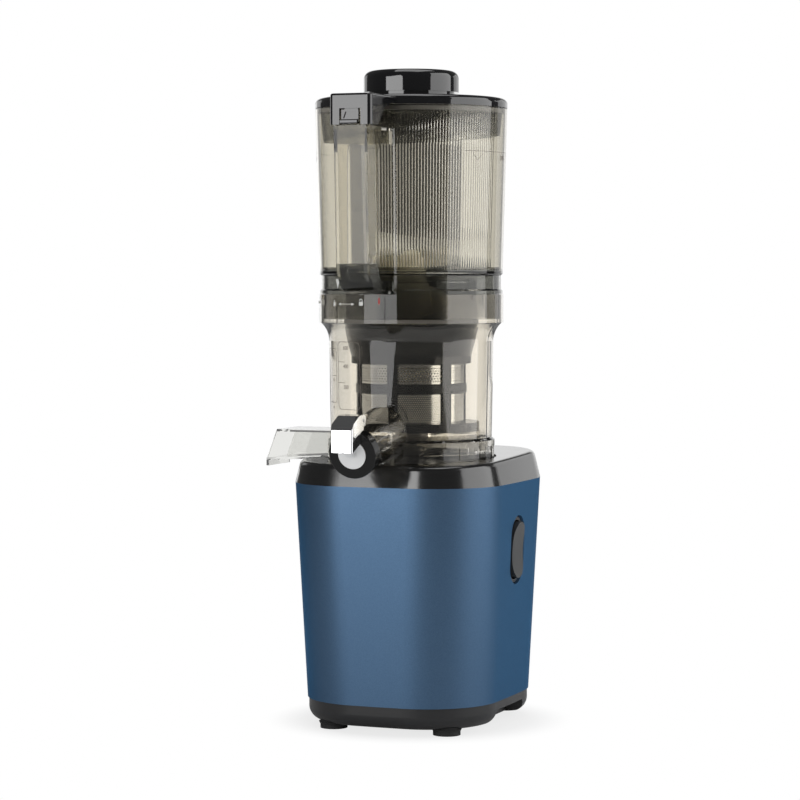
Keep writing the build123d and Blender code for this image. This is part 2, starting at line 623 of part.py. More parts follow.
with BuildPart() as switch_rocker:
    extrude(switch_pill(ROCKER_PROUD, ROCKER_HEIGHT, ROCKER_WIDTH), amount=-ROCKER_PROUD - ROCKER_PIVOT - 3)
    with BuildSketch(across_switch(ROCKER_PROUD + ROCKER_DISH_RADIUS - ROCKER_DISH)):
        Circle(ROCKER_DISH_RADIUS)
    extrude(amount=ROCKER_WIDTH, both=True, mode=Mode.SUBTRACT)
    with BuildSketch(across_switch(-ROCKER_PIVOT)):
        Circle(SWITCH_PIN_RADIUS + RUNNING)
    extrude(amount=SWITCH_OPENING_WIDTH, both=True, mode=Mode.SUBTRACT)
keep("switch_rocker", switch_rocker)

with BuildPart() as switch_pin:
    with BuildSketch(across_switch(-ROCKER_PIVOT)):
        Circle(SWITCH_PIN_RADIUS)
    extrude(amount=SWITCH_OPENING_WIDTH / 2 + 1, both=True)
keep("switch_pin", switch_pin)

# ================================================================ drive train
MOTOR_SHAFT_TOP = FIRST_STAGE_Z + FACE_WIDTH + 1.5
with BuildPart() as motor_body:
    with Locations((0, MOTOR_Y, MOTOR_Z)):
        Cylinder(MOTOR_RADIUS, MOTOR_HEIGHT, align=UP)
    fillet(motor_body.edges().filter_by(GeomType.CIRCLE), 3)
    with Locations((0, MOTOR_Y, MOTOR_Z + MOTOR_WALL)):
        Cylinder(MOTOR_RADIUS - MOTOR_WALL, MOTOR_HEIGHT - 2 * MOTOR_WALL, align=UP, mode=Mode.SUBTRACT)
        Cylinder(BEARING_RADIUS + 3, BEARING_HEIGHT, align=UP)
    with Locations((0, MOTOR_Y, MOTOR_TOP - MOTOR_WALL)):
        Cylinder(BEARING_RADIUS + 3, BEARING_HEIGHT, align=DOWN)
    with Locations((0, MOTOR_Y, MOTOR_Z + MOTOR_WALL)):
        Cylinder(BEARING_RADIUS + TOUCH / 2, MOTOR_HEIGHT - 2 * MOTOR_WALL, align=UP, mode=Mode.SUBTRACT)
        Cylinder(MOTOR_SHAFT_RADIUS + 1, 3 * MOTOR_HEIGHT, mode=Mode.SUBTRACT)
keep("motor_body", motor_body)

STACK_Z = MOTOR_Z + (MOTOR_HEIGHT - STACK_HEIGHT) / 2
with BuildPart() as motor_stator:
    with BuildSketch(Plane((0, MOTOR_Y, STACK_Z))):
        Circle(MOTOR_RADIUS - MOTOR_WALL - TOUCH)
        Circle(STATOR_BORE, mode=Mode.SUBTRACT)
        with PolarLocations(STATOR_BORE + 6, STATOR_SLOTS):
            Rectangle(9, 5, mode=Mode.SUBTRACT)
    extrude(amount=STACK_HEIGHT)
keep("motor_stator", motor_stator)

FAN_TOP = MOTOR_Z - 2.0
with BuildPart() as motor_rotor:
    with Locations((0, MOTOR_Y, STACK_Z)):
        Cylinder(STATOR_BORE - AIR_GAP, STACK_HEIGHT, align=UP)
    with Locations((0, MOTOR_Y, FAN_TOP - FAN_HEIGHT)):
        Cylinder(MOTOR_SHAFT_RADIUS, MOTOR_SHAFT_TOP - FAN_TOP + FAN_HEIGHT, align=UP)
keep("motor_rotor", motor_rotor)

with BuildPart() as motor_bearings:
    with Locations((0, MOTOR_Y, MOTOR_Z + MOTOR_WALL), (0, MOTOR_Y, MOTOR_TOP - MOTOR_WALL - BEARING_HEIGHT)):
        Cylinder(BEARING_RADIUS, BEARING_HEIGHT, align=UP)
        Cylinder(MOTOR_SHAFT_RADIUS + RUNNING, 3 * BEARING_HEIGHT, mode=Mode.SUBTRACT)
keep("motor_bearings", motor_bearings)

with BuildPart() as cooling_fan:
    with BuildSketch(Plane((0, MOTOR_Y, FAN_TOP - FAN_HEIGHT))):
        Circle(MOTOR_SHAFT_RADIUS + 6)
        with PolarLocations(FAN_RADIUS / 2, FAN_BLADES):
            Rectangle(FAN_RADIUS - 2, 1.8, rotation=24)
        Circle(MOTOR_SHAFT_RADIUS + TOUCH / 2, mode=Mode.SUBTRACT)
    extrude(amount=FAN_HEIGHT)
keep("cooling_fan", cooling_fan)


def gear_outline(teeth, bore, turn):
    """Spur gear profile about the origin, with one tooth centred on the angle turn (degrees)."""
    pitch_radius = GEAR_MODULE * teeth / 2
    base_radius = pitch_radius * cos(radians(PRESSURE_ANGLE))
    tip_radius = pitch_radius + ADDENDUM * GEAR_MODULE
    root_radius = pitch_radius - DEDENDUM * GEAR_MODULE
    pitch_half = pi / (2 * teeth) - BACKLASH / pitch_radius

    def involute(radius):
        roll = sqrt(max(radius ** 2 / base_radius ** 2 - 1, 0))
        return roll - atan(roll)

    def flank(radius):
        return pitch_half + involute(pitch_radius) - involute(radius)

    radii = (root_radius, max(root_radius, base_radius), pitch_radius, tip_radius)
    steps = sorted(set(radii))
    points = []
    for tooth in range(teeth):
        middle = radians(turn) + 2 * pi * tooth / teeth
        for radius in steps:
            points.append((radius * cos(middle - flank(radius)), radius * sin(middle - flank(radius))))
        for radius in reversed(steps):
            points.append((radius * cos(middle + flank(radius)), radius * sin(middle + flank(radius))))
    with BuildSketch() as profile:
        with BuildLine():
            Polyline(*points, close=True)
        make_face()
        Circle(bore, mode=Mode.SUBTRACT)
    return profile.sketch


MOTOR_TO_IDLER = degrees(atan2(IDLER_Y - MOTOR_Y, IDLER_X))
IDLER_TO_DRIVE = degrees(atan2(-IDLER_Y, -IDLER_X))
WHEEL_GAP = 180 / WHEEL_TEETH          # turns a wheel so that a gap, not a tooth, faces its pinion

with BuildPart() as motor_pinion:
    extrude(Plane((0, MOTOR_Y, FIRST_STAGE_Z - 1)) *
            gear_outline(PINION_TEETH, MOTOR_SHAFT_RADIUS - 0.5, MOTOR_TO_IDLER), amount=FACE_WIDTH + 2)
    with Locations((0, MOTOR_Y, FIRST_STAGE_Z)):
        Cylinder(MOTOR_SHAFT_RADIUS + TOUCH / 2, 4 * FACE_WIDTH, mode=Mode.SUBTRACT)
keep("motor_pinion", motor_pinion)

with BuildPart() as reduction_gear:
    extrude(Plane((IDLER_X, IDLER_Y, FIRST_STAGE_Z)) *
            gear_outline(WHEEL_TEETH, IDLER_PIN_RADIUS + RUNNING, MOTOR_TO_IDLER + 180 + WHEEL_GAP),
            amount=FACE_WIDTH)
    with Locations((IDLER_X, IDLER_Y, FIRST_STAGE_Z)):
        with PolarLocations(18.5, 6):
            Cylinder(5.5, 4 * FACE_WIDTH, mode=Mode.SUBTRACT)
    extrude(Plane((IDLER_X, IDLER_Y, FIRST_STAGE_Z + FACE_WIDTH)) *
            gear_outline(PINION_TEETH, IDLER_PIN_RADIUS + RUNNING, IDLER_TO_DRIVE),
            amount=SECOND_STAGE_Z - FIRST_STAGE_Z + 1)
keep("reduction_gear", reduction_gear)

with BuildPart() as output_gear:
    extrude(Plane((0, 0, SECOND_STAGE_Z)) *
            gear_outline(WHEEL_TEETH, DRIVE_SHAFT_RADIUS + TOUCH / 2, IDLER_TO_DRIVE + 180 + WHEEL_GAP),
            amount=FACE_WIDTH)
    with Locations((0, 0, SECOND_STAGE_Z)):
        with PolarLocations(19, 6):
            Cylinder(5.5, 4 * FACE_WIDTH, mode=Mode.SUBTRACT)
keep("output_gear", output_gear)

HOUSING_TOP = GEARBOX_TOP - COVER_PLATE
with BuildPart() as reduction_pin:
    with Locations((IDLER_X, IDLER_Y, GEARBOX_Z + PIN_SEAT)):
        Cylinder(IDLER_PIN_RADIUS, HOUSING_TOP + COVER_PLATE - 2 * PIN_SEAT - GEARBOX_Z, align=UP)
keep("reduction_pin", reduction_pin)


def gearbox_outline(z, inset):
    """Rounded rectangle of the gearbox at height z."""
    with BuildSketch(Plane((GEARBOX_X, GEARBOX_Y, z))) as shape:
        RectangleRounded(GEARBOX_LENGTH - 2 * inset, GEARBOX_WIDTH - 2 * inset, GEARBOX_CORNER - inset)
    return shape.sketch


with BuildPart() as gearbox_housing:
    extrude(gearbox_outline(GEARBOX_Z, 0), amount=HOUSING_TOP - TOUCH - GEARBOX_Z)
    extrude(gearbox_outline(GEARBOX_Z + GEARBOX_FLOOR, WALL), amount=GEARBOX_HEIGHT, mode=Mode.SUBTRACT)
    with Locations(*[(x, y, GEARBOX_Z) for x, y in GEARBOX_SCREWS]):
        Cylinder(POST_RADIUS, HOUSING_TOP - TOUCH - GEARBOX_Z, align=UP)
        Cylinder(POST_HOLE, 3 * GEARBOX_HEIGHT, mode=Mode.SUBTRACT)
        Cylinder(SCREW_HEAD_RADIUS + SLIP, 2 * (SCREW_HEAD_HEIGHT + TOUCH), mode=Mode.SUBTRACT)
    with Locations((IDLER_X, IDLER_Y, GEARBOX_Z + GEARBOX_FLOOR)):
        Cylinder(IDLER_PIN_RADIUS + 2.5, FIRST_STAGE_Z - GEARBOX_Z - GEARBOX_FLOOR - TOUCH, align=UP)
    with Locations((IDLER_X, IDLER_Y, GEARBOX_Z + PIN_SEAT - TOUCH)):
        Cylinder(IDLER_PIN_RADIUS + TOUCH / 2, GEARBOX_HEIGHT, align=UP, mode=Mode.SUBTRACT)
    with Locations((0, MOTOR_Y, GEARBOX_Z)):
        Cylinder(MOTOR_SHAFT_RADIUS + 1, 4 * GEARBOX_FLOOR, mode=Mode.SUBTRACT)
keep("gearbox_housing", gearbox_housing)

BUSH_RADIUS = DRIVE_SHAFT_RADIUS + DRIVE_BUSH_WALL
SHOULDER_TOP = SECOND_STAGE_Z + FACE_WIDTH + TOUCH + SHAFT_SHOULDER
with BuildPart() as gearbox_cover:
    extrude(gearbox_outline(HOUSING_TOP, 0), amount=COVER_PLATE)
    with Locations((0, 0, HOUSING_TOP)):
        Cylinder(BUSH_RADIUS + 3.6, SEAT_Z - WALL - 2 * TOUCH - HOUSING_TOP, align=UP)
        Cylinder(BUSH_RADIUS + TOUCH / 2, 4 * GEARBOX_HEIGHT, mode=Mode.SUBTRACT)
    with Locations((IDLER_X, IDLER_Y, HOUSING_TOP + COVER_PLATE / 2)):
        Cylinder(IDLER_PIN_RADIUS + 2.5, HOUSING_TOP + COVER_PLATE / 2 - SECOND_STAGE_Z - FACE_WIDTH - 3,
                 align=DOWN)
    with Locations((IDLER_X, IDLER_Y, GEARBOX_TOP - PIN_SEAT + TOUCH)):
        Cylinder(IDLER_PIN_RADIUS + TOUCH / 2, GEARBOX_HEIGHT, align=DOWN, mode=Mode.SUBTRACT)
    with Locations(*[(x, y, HOUSING_TOP) for x, y in GEARBOX_SCREWS]):
        Cylinder(POST_HOLE, 4 * COVER_PLATE, mode=Mode.SUBTRACT)
keep("gearbox_cover", gearbox_cover)

with BuildPart() as gearbox_screws:
    with Locations(*[(x, y, GEARBOX_Z + SCREW_HEAD_HEIGHT) for x, y in GEARBOX_SCREWS]):
        Cylinder(SCREW_HEAD_RADIUS, SCREW_HEAD_HEIGHT, align=DOWN)
        Cylinder(SCREW_RADIUS, GEARBOX_TOP + 14 - GEARBOX_Z, align=UP)
keep("gearbox_screws", gearbox_screws)

with BuildPart() as drive_bush:
    add(ring(BUSH_RADIUS, DRIVE_SHAFT_RADIUS + RUNNING, SHOULDER_TOP + TOUCH,
             SEAT_Z - WALL - 3 * TOUCH - SHOULDER_TOP))
keep("drive_bush", drive_bush)

SPIGOT_TOP = SEAT_Z + SPIGOT_HEIGHT
with BuildPart() as drive_shaft:
    with Locations((0, 0, SECOND_STAGE_Z - 1)):
        Cylinder(DRIVE_SHAFT_RADIUS, SPIGOT_TOP + TOUCH - SECOND_STAGE_Z + 1, align=UP)
    with Locations((0, 0, SECOND_STAGE_Z + FACE_WIDTH + TOUCH)):
        Cylinder(DRIVE_SHAFT_RADIUS + 2.5, SHAFT_SHOULDER, align=UP)
    with BuildSketch(Plane((0, 0, SPIGOT_TOP))):
        RegularPolygon(DRIVE_HEX / 2, 6, major_radius=False)
    extrude(amount=HEX_LENGTH)
    chamfer(drive_shaft.faces().sort_by(Axis.Z)[-1].edges(), 0.8)
keep("drive_shaft", drive_shaft)

with BuildPart() as shaft_seal:
    add(ring(DRIVE_SHAFT_RADIUS + 3.4 - TOUCH, DRIVE_SHAFT_RADIUS + RUNNING, SPIGOT_TOP - 5 + TOUCH,
             5 - TOUCH))
keep("shaft_seal", shaft_seal)

# ================================================================ juice bowl
BOWL_FOOT_BORE = BOWL_BORE - BOWL_DRAFT
HUB_BORE = SPIGOT_RADIUS + 0.8
CHANNEL_TOP = BOWL_Z + CHANNEL_Z
HUB_Z = BOWL_Z + 6.0


def sector(radius, bore, z, height, start, sweep_angle):
    """Part of a ring about the juicing axis, from azimuth start over sweep_angle degrees."""
    with BuildPart() as body:
        with BuildSketch(Plane.XZ.rotated((0, 0, start))):
            with BuildLine():
                Polyline((bore, z), (radius, z), (radius, z + height), (bore, z + height), close=True)
            make_face()
        revolve(axis=Axis.Z, revolution_arc=sweep_angle)
    return body.part


MOUTH_PLANE = Plane(origin=(0, MOUTH_Y, BOWL_Z + MOUTH_Z), x_dir=(1, 0, 0),
                    z_dir=(0, -cos(radians(SPOUT_DROP)), -sin(radians(SPOUT_DROP))))
TUBE_END = RING_LIP + TOUCH
SLEEVE_START = RING_LENGTH + TOUCH
SLEEVE_RADIUS = SPOUT_TIP_RADIUS - 0.5


def spout_taper(root, tip, back, front):
    """A round taper along the spout, between two distances behind the mouth."""
    with BuildPart() as body:
        with BuildSketch(MOUTH_PLANE.offset(-back)):
            Circle(root)
        with BuildSketch(MOUTH_PLANE.offset(-front)):
            Circle(tip)
        loft()
    return body.part


DUCT_TOP = SEAT_Z + CHUTE_TOP


def duct(inset, open_by):
    """The chute's outline, drawn in by inset and carried past its mouth by open_by."""
    lean = CHUTE_SLANT / (CHUTE_TOP - CHUTE_FLOOR_OUTER)
    floor_fall = (CHUTE_FLOOR_INNER - CHUTE_FLOOR_OUTER) / (CHUTE_REACH + CHUTE_SLANT - CHUTE_START)
    start = -(CHUTE_START + inset)
    foot = -(CHUTE_REACH + CHUTE_SLANT + open_by)
    crown = -(CHUTE_REACH + open_by + inset * lean)
    with BuildPart() as body:
        with BuildSketch(Plane.XZ):
            with BuildLine():
                Polyline((start, SEAT_Z + CHUTE_FLOOR_INNER + inset), (start, DUCT_TOP - inset),
                         (crown, DUCT_TOP - inset),
                         (foot, SEAT_Z + CHUTE_FLOOR_OUTER - open_by * floor_fall + inset), close=True)
            make_face()
        extrude(amount=CHUTE_WIDTH / 2 - inset, both=True)
    return body.part


BAYONET_ANGLES = [BAYONET_AZIMUTH + 360 / BAYONETS * i for i in range(BAYONETS)]
LUG_Z = HOPPER_BASE_Z - 8.4
with BuildPart() as bowl_outside:
    with BuildSketch(Plane.XZ):
        with BuildLine():
            Polyline((0, BOWL_RIM), (0, BOWL_Z), (SKIRT_RADIUS, BOWL_Z),
                     (SKIRT_RADIUS, BOWL_Z + SKIRT_HEIGHT - 2),
                     (BOWL_FOOT_BORE + BOWL_WALL, BOWL_Z + SKIRT_HEIGHT),
                     (BOWL_BORE + BOWL_WALL, SHOULDER_Z))
            TangentArc((BOWL_BORE + BOWL_WALL, SHOULDER_Z), (COLLAR_RADIUS - 1, COLLAR_Z), tangent=(0, 1))
            Polyline((COLLAR_RADIUS - 1, COLLAR_Z), (COLLAR_RADIUS, COLLAR_Z), (COLLAR_RADIUS, BOWL_RIM),
                     (0, BOWL_RIM))
        make_face()
    revolve(axis=Axis.Z)

with BuildPart() as bowl_inside:
    with BuildSketch(Plane.XZ):
        with BuildLine():
            Polyline((0, BOWL_RIM + 1), (0, ISLAND_TOP), (ISLAND_RADIUS, ISLAND_TOP),
                     (ISLAND_RADIUS, CHANNEL_TOP), (BOWL_FOOT_BORE, CHANNEL_TOP), (BOWL_BORE, SHOULDER_Z))
            TangentArc((BOWL_BORE, SHOULDER_Z), (COLLAR_BORE, COLLAR_Z), tangent=(0, 1))
            Polyline((COLLAR_BORE, COLLAR_Z), (COLLAR_BORE, BOWL_RIM + 1), (0, BOWL_RIM + 1))
        make_face()
    revolve(axis=Axis.Z)

with BuildPart() as juice_bowl:
    add(bowl_outside.part)
    with Locations((0, 0, BOWL_Z + 8)):
        with PolarLocations(SKIRT_RADIUS, SKIRT_PANELS):
            Box(2, 14, 9, mode=Mode.SUBTRACT)
    # the skirt and island are hollow from below, round a hub
    add(turned((0, BOWL_Z - 1), (SKIRT_RADIUS - 1.9, BOWL_Z - 1),
               (SKIRT_RADIUS - 1.9, CHANNEL_TOP - BOWL_WALL),
               (ISLAND_RADIUS - BOWL_WALL, CHANNEL_TOP - BOWL_WALL),
               (ISLAND_RADIUS - BOWL_WALL, ISLAND_TOP - BOWL_WALL),
               (HUB_BORE + HUB_WALL, ISLAND_TOP - BOWL_WALL), (HUB_BORE + HUB_WALL, HUB_Z), (0, HUB_Z)),
        mode=Mode.SUBTRACT)
    add(spout_taper(SPOUT_ROOT_RADIUS, SPOUT_TIP_RADIUS, SPOUT_LENGTH, SLEEVE_START))
    add(spout_taper(SLEEVE_RADIUS, SLEEVE_RADIUS, SLEEVE_START + 1, TUBE_END))
    add(bowl_inside.part, mode=Mode.SUBTRACT)
    add(spout_taper(SPOUT_ROOT_RADIUS - SPOUT_WALL, SLEEVE_RADIUS - SPOUT_WALL, SPOUT_LENGTH + 2, 0),
        mode=Mode.SUBTRACT)
    # chute for the pulp
    add(duct(0, 0))
    with Locations((-CHUTE_REACH - CHUTE_SLANT, 0, SEAT_Z + CHUTE_FLOOR_OUTER + CHUTE_WALL)):
        Box(CHUTE_WALL, CHUTE_WIDTH, CHUTE_LIP + CHUTE_WALL, align=(Align.MIN, Align.CENTER, Align.MAX))
    add(duct(CHUTE_WALL, 3), mode=Mode.SUBTRACT)
    with Locations((-(PULP_HOLE_INNER + PULP_HOLE_OUTER) / 2, 0, ISLAND_TOP)):
        Box(PULP_HOLE_OUTER - PULP_HOLE_INNER, PULP_HOLE_WIDTH, 12, mode=Mode.SUBTRACT)
    Cylinder(HUB_BORE, 2 * ISLAND_TOP, mode=Mode.SUBTRACT)
    # bayonet grooves inside the collar, ribs outside it
    for azimuth in BAYONET_ANGLES:
        add(sector(COLLAR_BORE + LUG_DEPTH, COLLAR_BORE - 1, LUG_Z - 0.3, LUG_HEIGHT + 0.6, azimuth,
                   TWIST + LUG_ANGLE + 1), mode=Mode.SUBTRACT)
        add(sector(COLLAR_BORE + LUG_DEPTH, COLLAR_BORE - 1, LUG_Z - 0.3, 20, azimuth + TWIST - 0.5,
                   LUG_ANGLE + 1.5), mode=Mode.SUBTRACT)
        add(sector(COLLAR_RADIUS + 0.8, COLLAR_RADIUS - 0.5, LUG_Z + 1, 2.0, azimuth, BAYONET_RIB_ANGLE))
        add(sector(COLLAR_RADIUS + 0.8, COLLAR_RADIUS - 0.5, COLLAR_Z, LUG_Z + 2 - COLLAR_Z, azimuth, 1.6))
    for azimuth in COLLAR_RIBS:
        add(sector(COLLAR_RADIUS + 0.8, COLLAR_RADIUS - 0.5, COLLAR_Z, COLLAR_HEIGHT - 1, azimuth, 1.6))
keep("juice_bowl", juice_bowl)

# ---------------------------------------------------------------- spout fittings
PIVOT_Y = MOUTH_Y + 2.1
PIVOT_Z = BOWL_Z + MOUTH_Z + CAP_PIVOT_RISE


def across(width, *points):
    """A plate of the given width, centred on x = 0, from a closed (y, z) profile."""
    with BuildPart() as body:
        with BuildSketch(Plane.YZ):
            with BuildLine():
                Polyline(*points, close=True)
            make_face()
        extrude(amount=width / 2, both=True)
    return body.part


def cross_rod(radius, y, z, half_length):
    """A round bar along x, centred on x = 0."""
    with BuildPart() as body:
        with BuildSketch(Plane.YZ):
            with Locations((y, z)):
                Circle(radius)
        extrude(amount=half_length, both=True)
    return body.part


def from_pivot(*points):
    """Points given from the spout cap's pivot."""
    return [(PIVOT_Y + y, PIVOT_Z + z) for y, z in points]


with BuildPart() as spout_ring:
    with BuildSketch(MOUTH_PLANE):
        Circle(RING_RADIUS)
    extrude(amount=-RING_LENGTH)
    fillet(spout_ring.edges().filter_by(GeomType.CIRCLE).sort_by(Axis.Y)[0], 1.0)
    add(across(CAP_LUG_WIDTH, *from_pivot((-2.6, -9), (2.4, -7), (CAP_LUG_RADIUS, 0), (-CAP_LUG_RADIUS, 0))))
    add(cross_rod(CAP_LUG_RADIUS, PIVOT_Y, PIVOT_Z, CAP_LUG_WIDTH / 2))
    add(cross_rod(CAP_PIN_RADIUS + TOUCH / 2, PIVOT_Y, PIVOT_Z, CAP_WIDTH), mode=Mode.SUBTRACT)
    with BuildSketch(MOUTH_PLANE.offset(-RING_LIP)):
        Circle(SLEEVE_RADIUS + 0.2)
    extrude(amount=-2 * RING_LENGTH, mode=Mode.SUBTRACT)
    with BuildSketch(MOUTH_PLANE.offset(1)):
        Circle(MOUTH_RADIUS)
    extrude(amount=-RING_LENGTH, mode=Mode.SUBTRACT)
keep("spout_ring", spout_ring)

CAP_SIDE = ((0, CAP_BARREL), (-8, CAP_BARREL - 0.8), (-19.5, CAP_BARREL - 6.4),
            (-CAP_DEPTH, CAP_BARREL - 10.7), (-CAP_DEPTH, CAP_BARREL - CAP_HEIGHT),
            (-CAP_DEPTH + 1.5, CAP_BARREL - CAP_HEIGHT), (0, CAP_BARREL - 18.6))
with BuildPart() as smart_cap:
    add(across(CAP_WIDTH, *from_pivot(*CAP_SIDE)))
    add(cross_rod(CAP_BARREL, PIVOT_Y, PIVOT_Z, CAP_WIDTH / 2))
    # hollow from below and behind, round a middle web that carries the plug
    add(across(CAP_WIDTH - 2 * CAP_WALL,
               *from_pivot((-7, 1), (-18.4, -4), (-CAP_DEPTH + CAP_WALL, -7.4), (-CAP_DEPTH + CAP_WALL, -30),
                           (8, -30), (8, -9), (-7, -9))), mode=Mode.SUBTRACT)
    add(across(6, *from_pivot((-9, 2), (-18.4, -3), (-CAP_DEPTH + 1, -7),
                              (-CAP_DEPTH + 1, CAP_BARREL - CAP_HEIGHT),
                              (-16, CAP_BARREL - CAP_HEIGHT), (-12, -24), (-3, -27), (-3, -15.5), (-9, -12))))
    with BuildSketch(MOUTH_PLANE.offset(FREE)):
        Circle(RING_RADIUS + 2 * FREE)
    extrude(amount=-4 * RING_LENGTH, mode=Mode.SUBTRACT)
    add(across(CAP_LUG_WIDTH + 2 * FREE + 0.1,
               *from_pivot((-7.5, 3), (-7.5, -9), (8, -9), (8, 3))), mode=Mode.SUBTRACT)
    add(cross_rod(CAP_PIN_RADIUS + RUNNING, PIVOT_Y, PIVOT_Z, CAP_WIDTH), mode=Mode.SUBTRACT)
    fillet(smart_cap.edges().filter_by(Axis.Z).sort_by(Axis.Y)[:2], 1.2)
keep("smart_cap", smart_cap)

with BuildPart() as cap_plug:
    with BuildSketch(MOUTH_PLANE.offset(FREE - TOUCH)):
        Circle(MOUTH_RADIUS - FREE)
    with BuildSketch(MOUTH_PLANE.offset(-PLUG_DEPTH)):
        Circle(MOUTH_RADIUS - FREE - 0.6)
    loft()
keep("cap_plug", cap_plug)

with BuildPart() as cap_pin:
    add(cross_rod(CAP_PIN_RADIUS, PIVOT_Y, PIVOT_Z, CAP_WIDTH / 2 - 0.4))
keep("cap_pin", cap_pin)

# ================================================================ strainer and auger
CORE_Z = SPIGOT_TOP + 1.0
with BuildPart() as bowl_seal:
    add(ring(HUB_BORE - TOUCH, SOCKET_RADIUS + RUNNING, ISLAND_TOP - 8, 8))
keep("bowl_seal", bowl_seal)

with BuildPart() as strainer_frame:
    inner = STRAINER_RADIUS - STRAINER_WALL
    add(turned((inner, STRAINER_Z), (STRAINER_FLANGE_RADIUS, STRAINER_Z),
               (STRAINER_FLANGE_RADIUS, LOWER_WINDOW_Z),
               (STRAINER_RADIUS, LOWER_WINDOW_Z), (STRAINER_RADIUS, MIDDLE_Z),
               (STRAINER_RADIUS + 0.6, MIDDLE_Z + 0.6),
               (STRAINER_RADIUS + 0.6, UPPER_WINDOW_Z - 0.6), (STRAINER_RADIUS, UPPER_WINDOW_Z),
               (STRAINER_RADIUS, TOP_RING_Z), (STRAINER_RADIUS + 4, TOP_RING_Z + 0.9),
               (STRAINER_RADIUS + 4, FUNNEL_Z),
               (FUNNEL_RADIUS, STRAINER_TOP), (FUNNEL_RADIUS - FUNNEL_WALL, STRAINER_TOP),
               (inner, FUNNEL_Z - 1)))
    add(ring(STRAINER_FLANGE_RADIUS - STRAINER_WALL, STRAINER_RADIUS + STRAINER_WALL, STRAINER_Z - 1,
             FLANGE_HEIGHT - STRAINER_WALL), mode=Mode.SUBTRACT)
    for window_z, height in ((LOWER_WINDOW_Z, LOWER_WINDOW), (UPPER_WINDOW_Z, UPPER_WINDOW)):
        with Locations((0, 0, window_z + height / 2)):
            with PolarLocations(STRAINER_RADIUS - 2, WINDOWS, start_angle=WINDOW_TURN):
                Box(16, 2 * STRAINER_RADIUS * sin(radians((360 / WINDOWS - PILLAR_ANGLE) / 2)), height,
                    mode=Mode.SUBTRACT)
keep("strainer_frame", strainer_frame)

MESH_SPLIT = MIDDLE_Z + MIDDLE_RING / 2
with BuildPart() as strainer_mesh_lower:
    add(ring(MESH_RADIUS, MESH_BORE, STRAINER_Z + TOUCH, MESH_SPLIT - STRAINER_Z - 2 * TOUCH))
keep("strainer_mesh_lower", strainer_mesh_lower)

with BuildPart() as strainer_mesh_upper:
    add(ring(MESH_RADIUS, MESH_BORE, MESH_SPLIT, TOP_RING_Z + 3 - MESH_SPLIT))
keep("strainer_mesh_upper", strainer_mesh_upper)

FLIGHT_RADIUS = MESH_BORE - AUGER_CLEARANCE
AUGER_Z = ISLAND_TOP + 1.9
FLIGHT_TOP = STRAINER_TOP - 1.5
WING_FOOT = FLIGHT_TOP - 8
WING_CREST = HOPPER_FLOOR + WING_TOP
AUGER_TIP = HOPPER_FLOOR + AUGER_PEAK


def flight(radius, sweep_angle, z, height, pitch, crest_azimuth, count):
    """Screw flights: wedge-shaped arms, twisted upwards; crest_azimuth is where the first one ends."""
    rise = 360 * height / pitch
    with BuildSketch() as arms:
        Circle(4)
        for i in range(count):
            start = crest_azimuth - rise - sweep_angle / 2 + 360 / count * i
            with BuildLine():
                Line((0, 0), (radius * cos(radians(start)), radius * sin(radians(start))))
                CenterArc((0, 0), radius, start, sweep_angle)
                Line((radius * cos(radians(start + sweep_angle)),
                      radius * sin(radians(start + sweep_angle))), (0, 0))
            make_face()
    return Location((0, 0, z)) * Solid.extrude_linear_with_rotation(
        arms.sketch.faces()[0], (0, 0, 0), (0, 0, height), rise)


with BuildPart() as auger_root:
    with BuildSketch(Plane.XZ):
        with BuildLine():
            Line((0, AUGER_Z), (AUGER_ROOT_LOW, AUGER_Z))
            Spline((AUGER_ROOT_LOW, AUGER_Z), (AUGER_ROOT_LOW - 5, AUGER_Z + 40),
                   (AUGER_ROOT_MIDDLE, FLIGHT_TOP + 4), (AUGER_ROOT_HIGH, AUGER_TIP - 15),
                   (AUGER_ROOT_HIGH - 3, AUGER_TIP - 4))
            Spline((AUGER_ROOT_HIGH - 3, AUGER_TIP - 4), (5, AUGER_TIP - 1), (0, AUGER_TIP))
            Line((0, AUGER_TIP), (0, AUGER_Z))
        make_face()
    revolve(axis=Axis.Z)

with BuildPart() as auger:
    add(auger_root.part)
    add(flight(FLIGHT_RADIUS, 360 * FLIGHT_THICKNESS / FLIGHT_PITCH, AUGER_Z + 3, FLIGHT_TOP - AUGER_Z - 3,
               FLIGHT_PITCH, 40, FLIGHT_STARTS))
    add(flight(WING_RADIUS, 360 * FLIGHT_THICKNESS / WING_PITCH, WING_FOOT, WING_CREST - WING_FOOT,
               WING_PITCH,
               WING_AZIMUTH, 1))
    with Locations((0, 0, AUGER_Z)):
        Cylinder(SOCKET_RADIUS + TOUCH / 2, 2 * (DRIVE_TIP + 8 - AUGER_Z), mode=Mode.SUBTRACT)
keep("auger", auger)

with BuildPart() as auger_core:
    with Locations((0, 0, CORE_Z)):
        Cylinder(SOCKET_RADIUS, DRIVE_TIP + 8 - TOUCH - CORE_Z, align=UP)
    with BuildSketch(Plane((0, 0, CORE_Z))):
        RegularPolygon(DRIVE_HEX / 2 + FREE, 6, major_radius=False)
    extrude(amount=DRIVE_TIP + 3 - CORE_Z, mode=Mode.SUBTRACT)
keep("auger_core", auger_core)

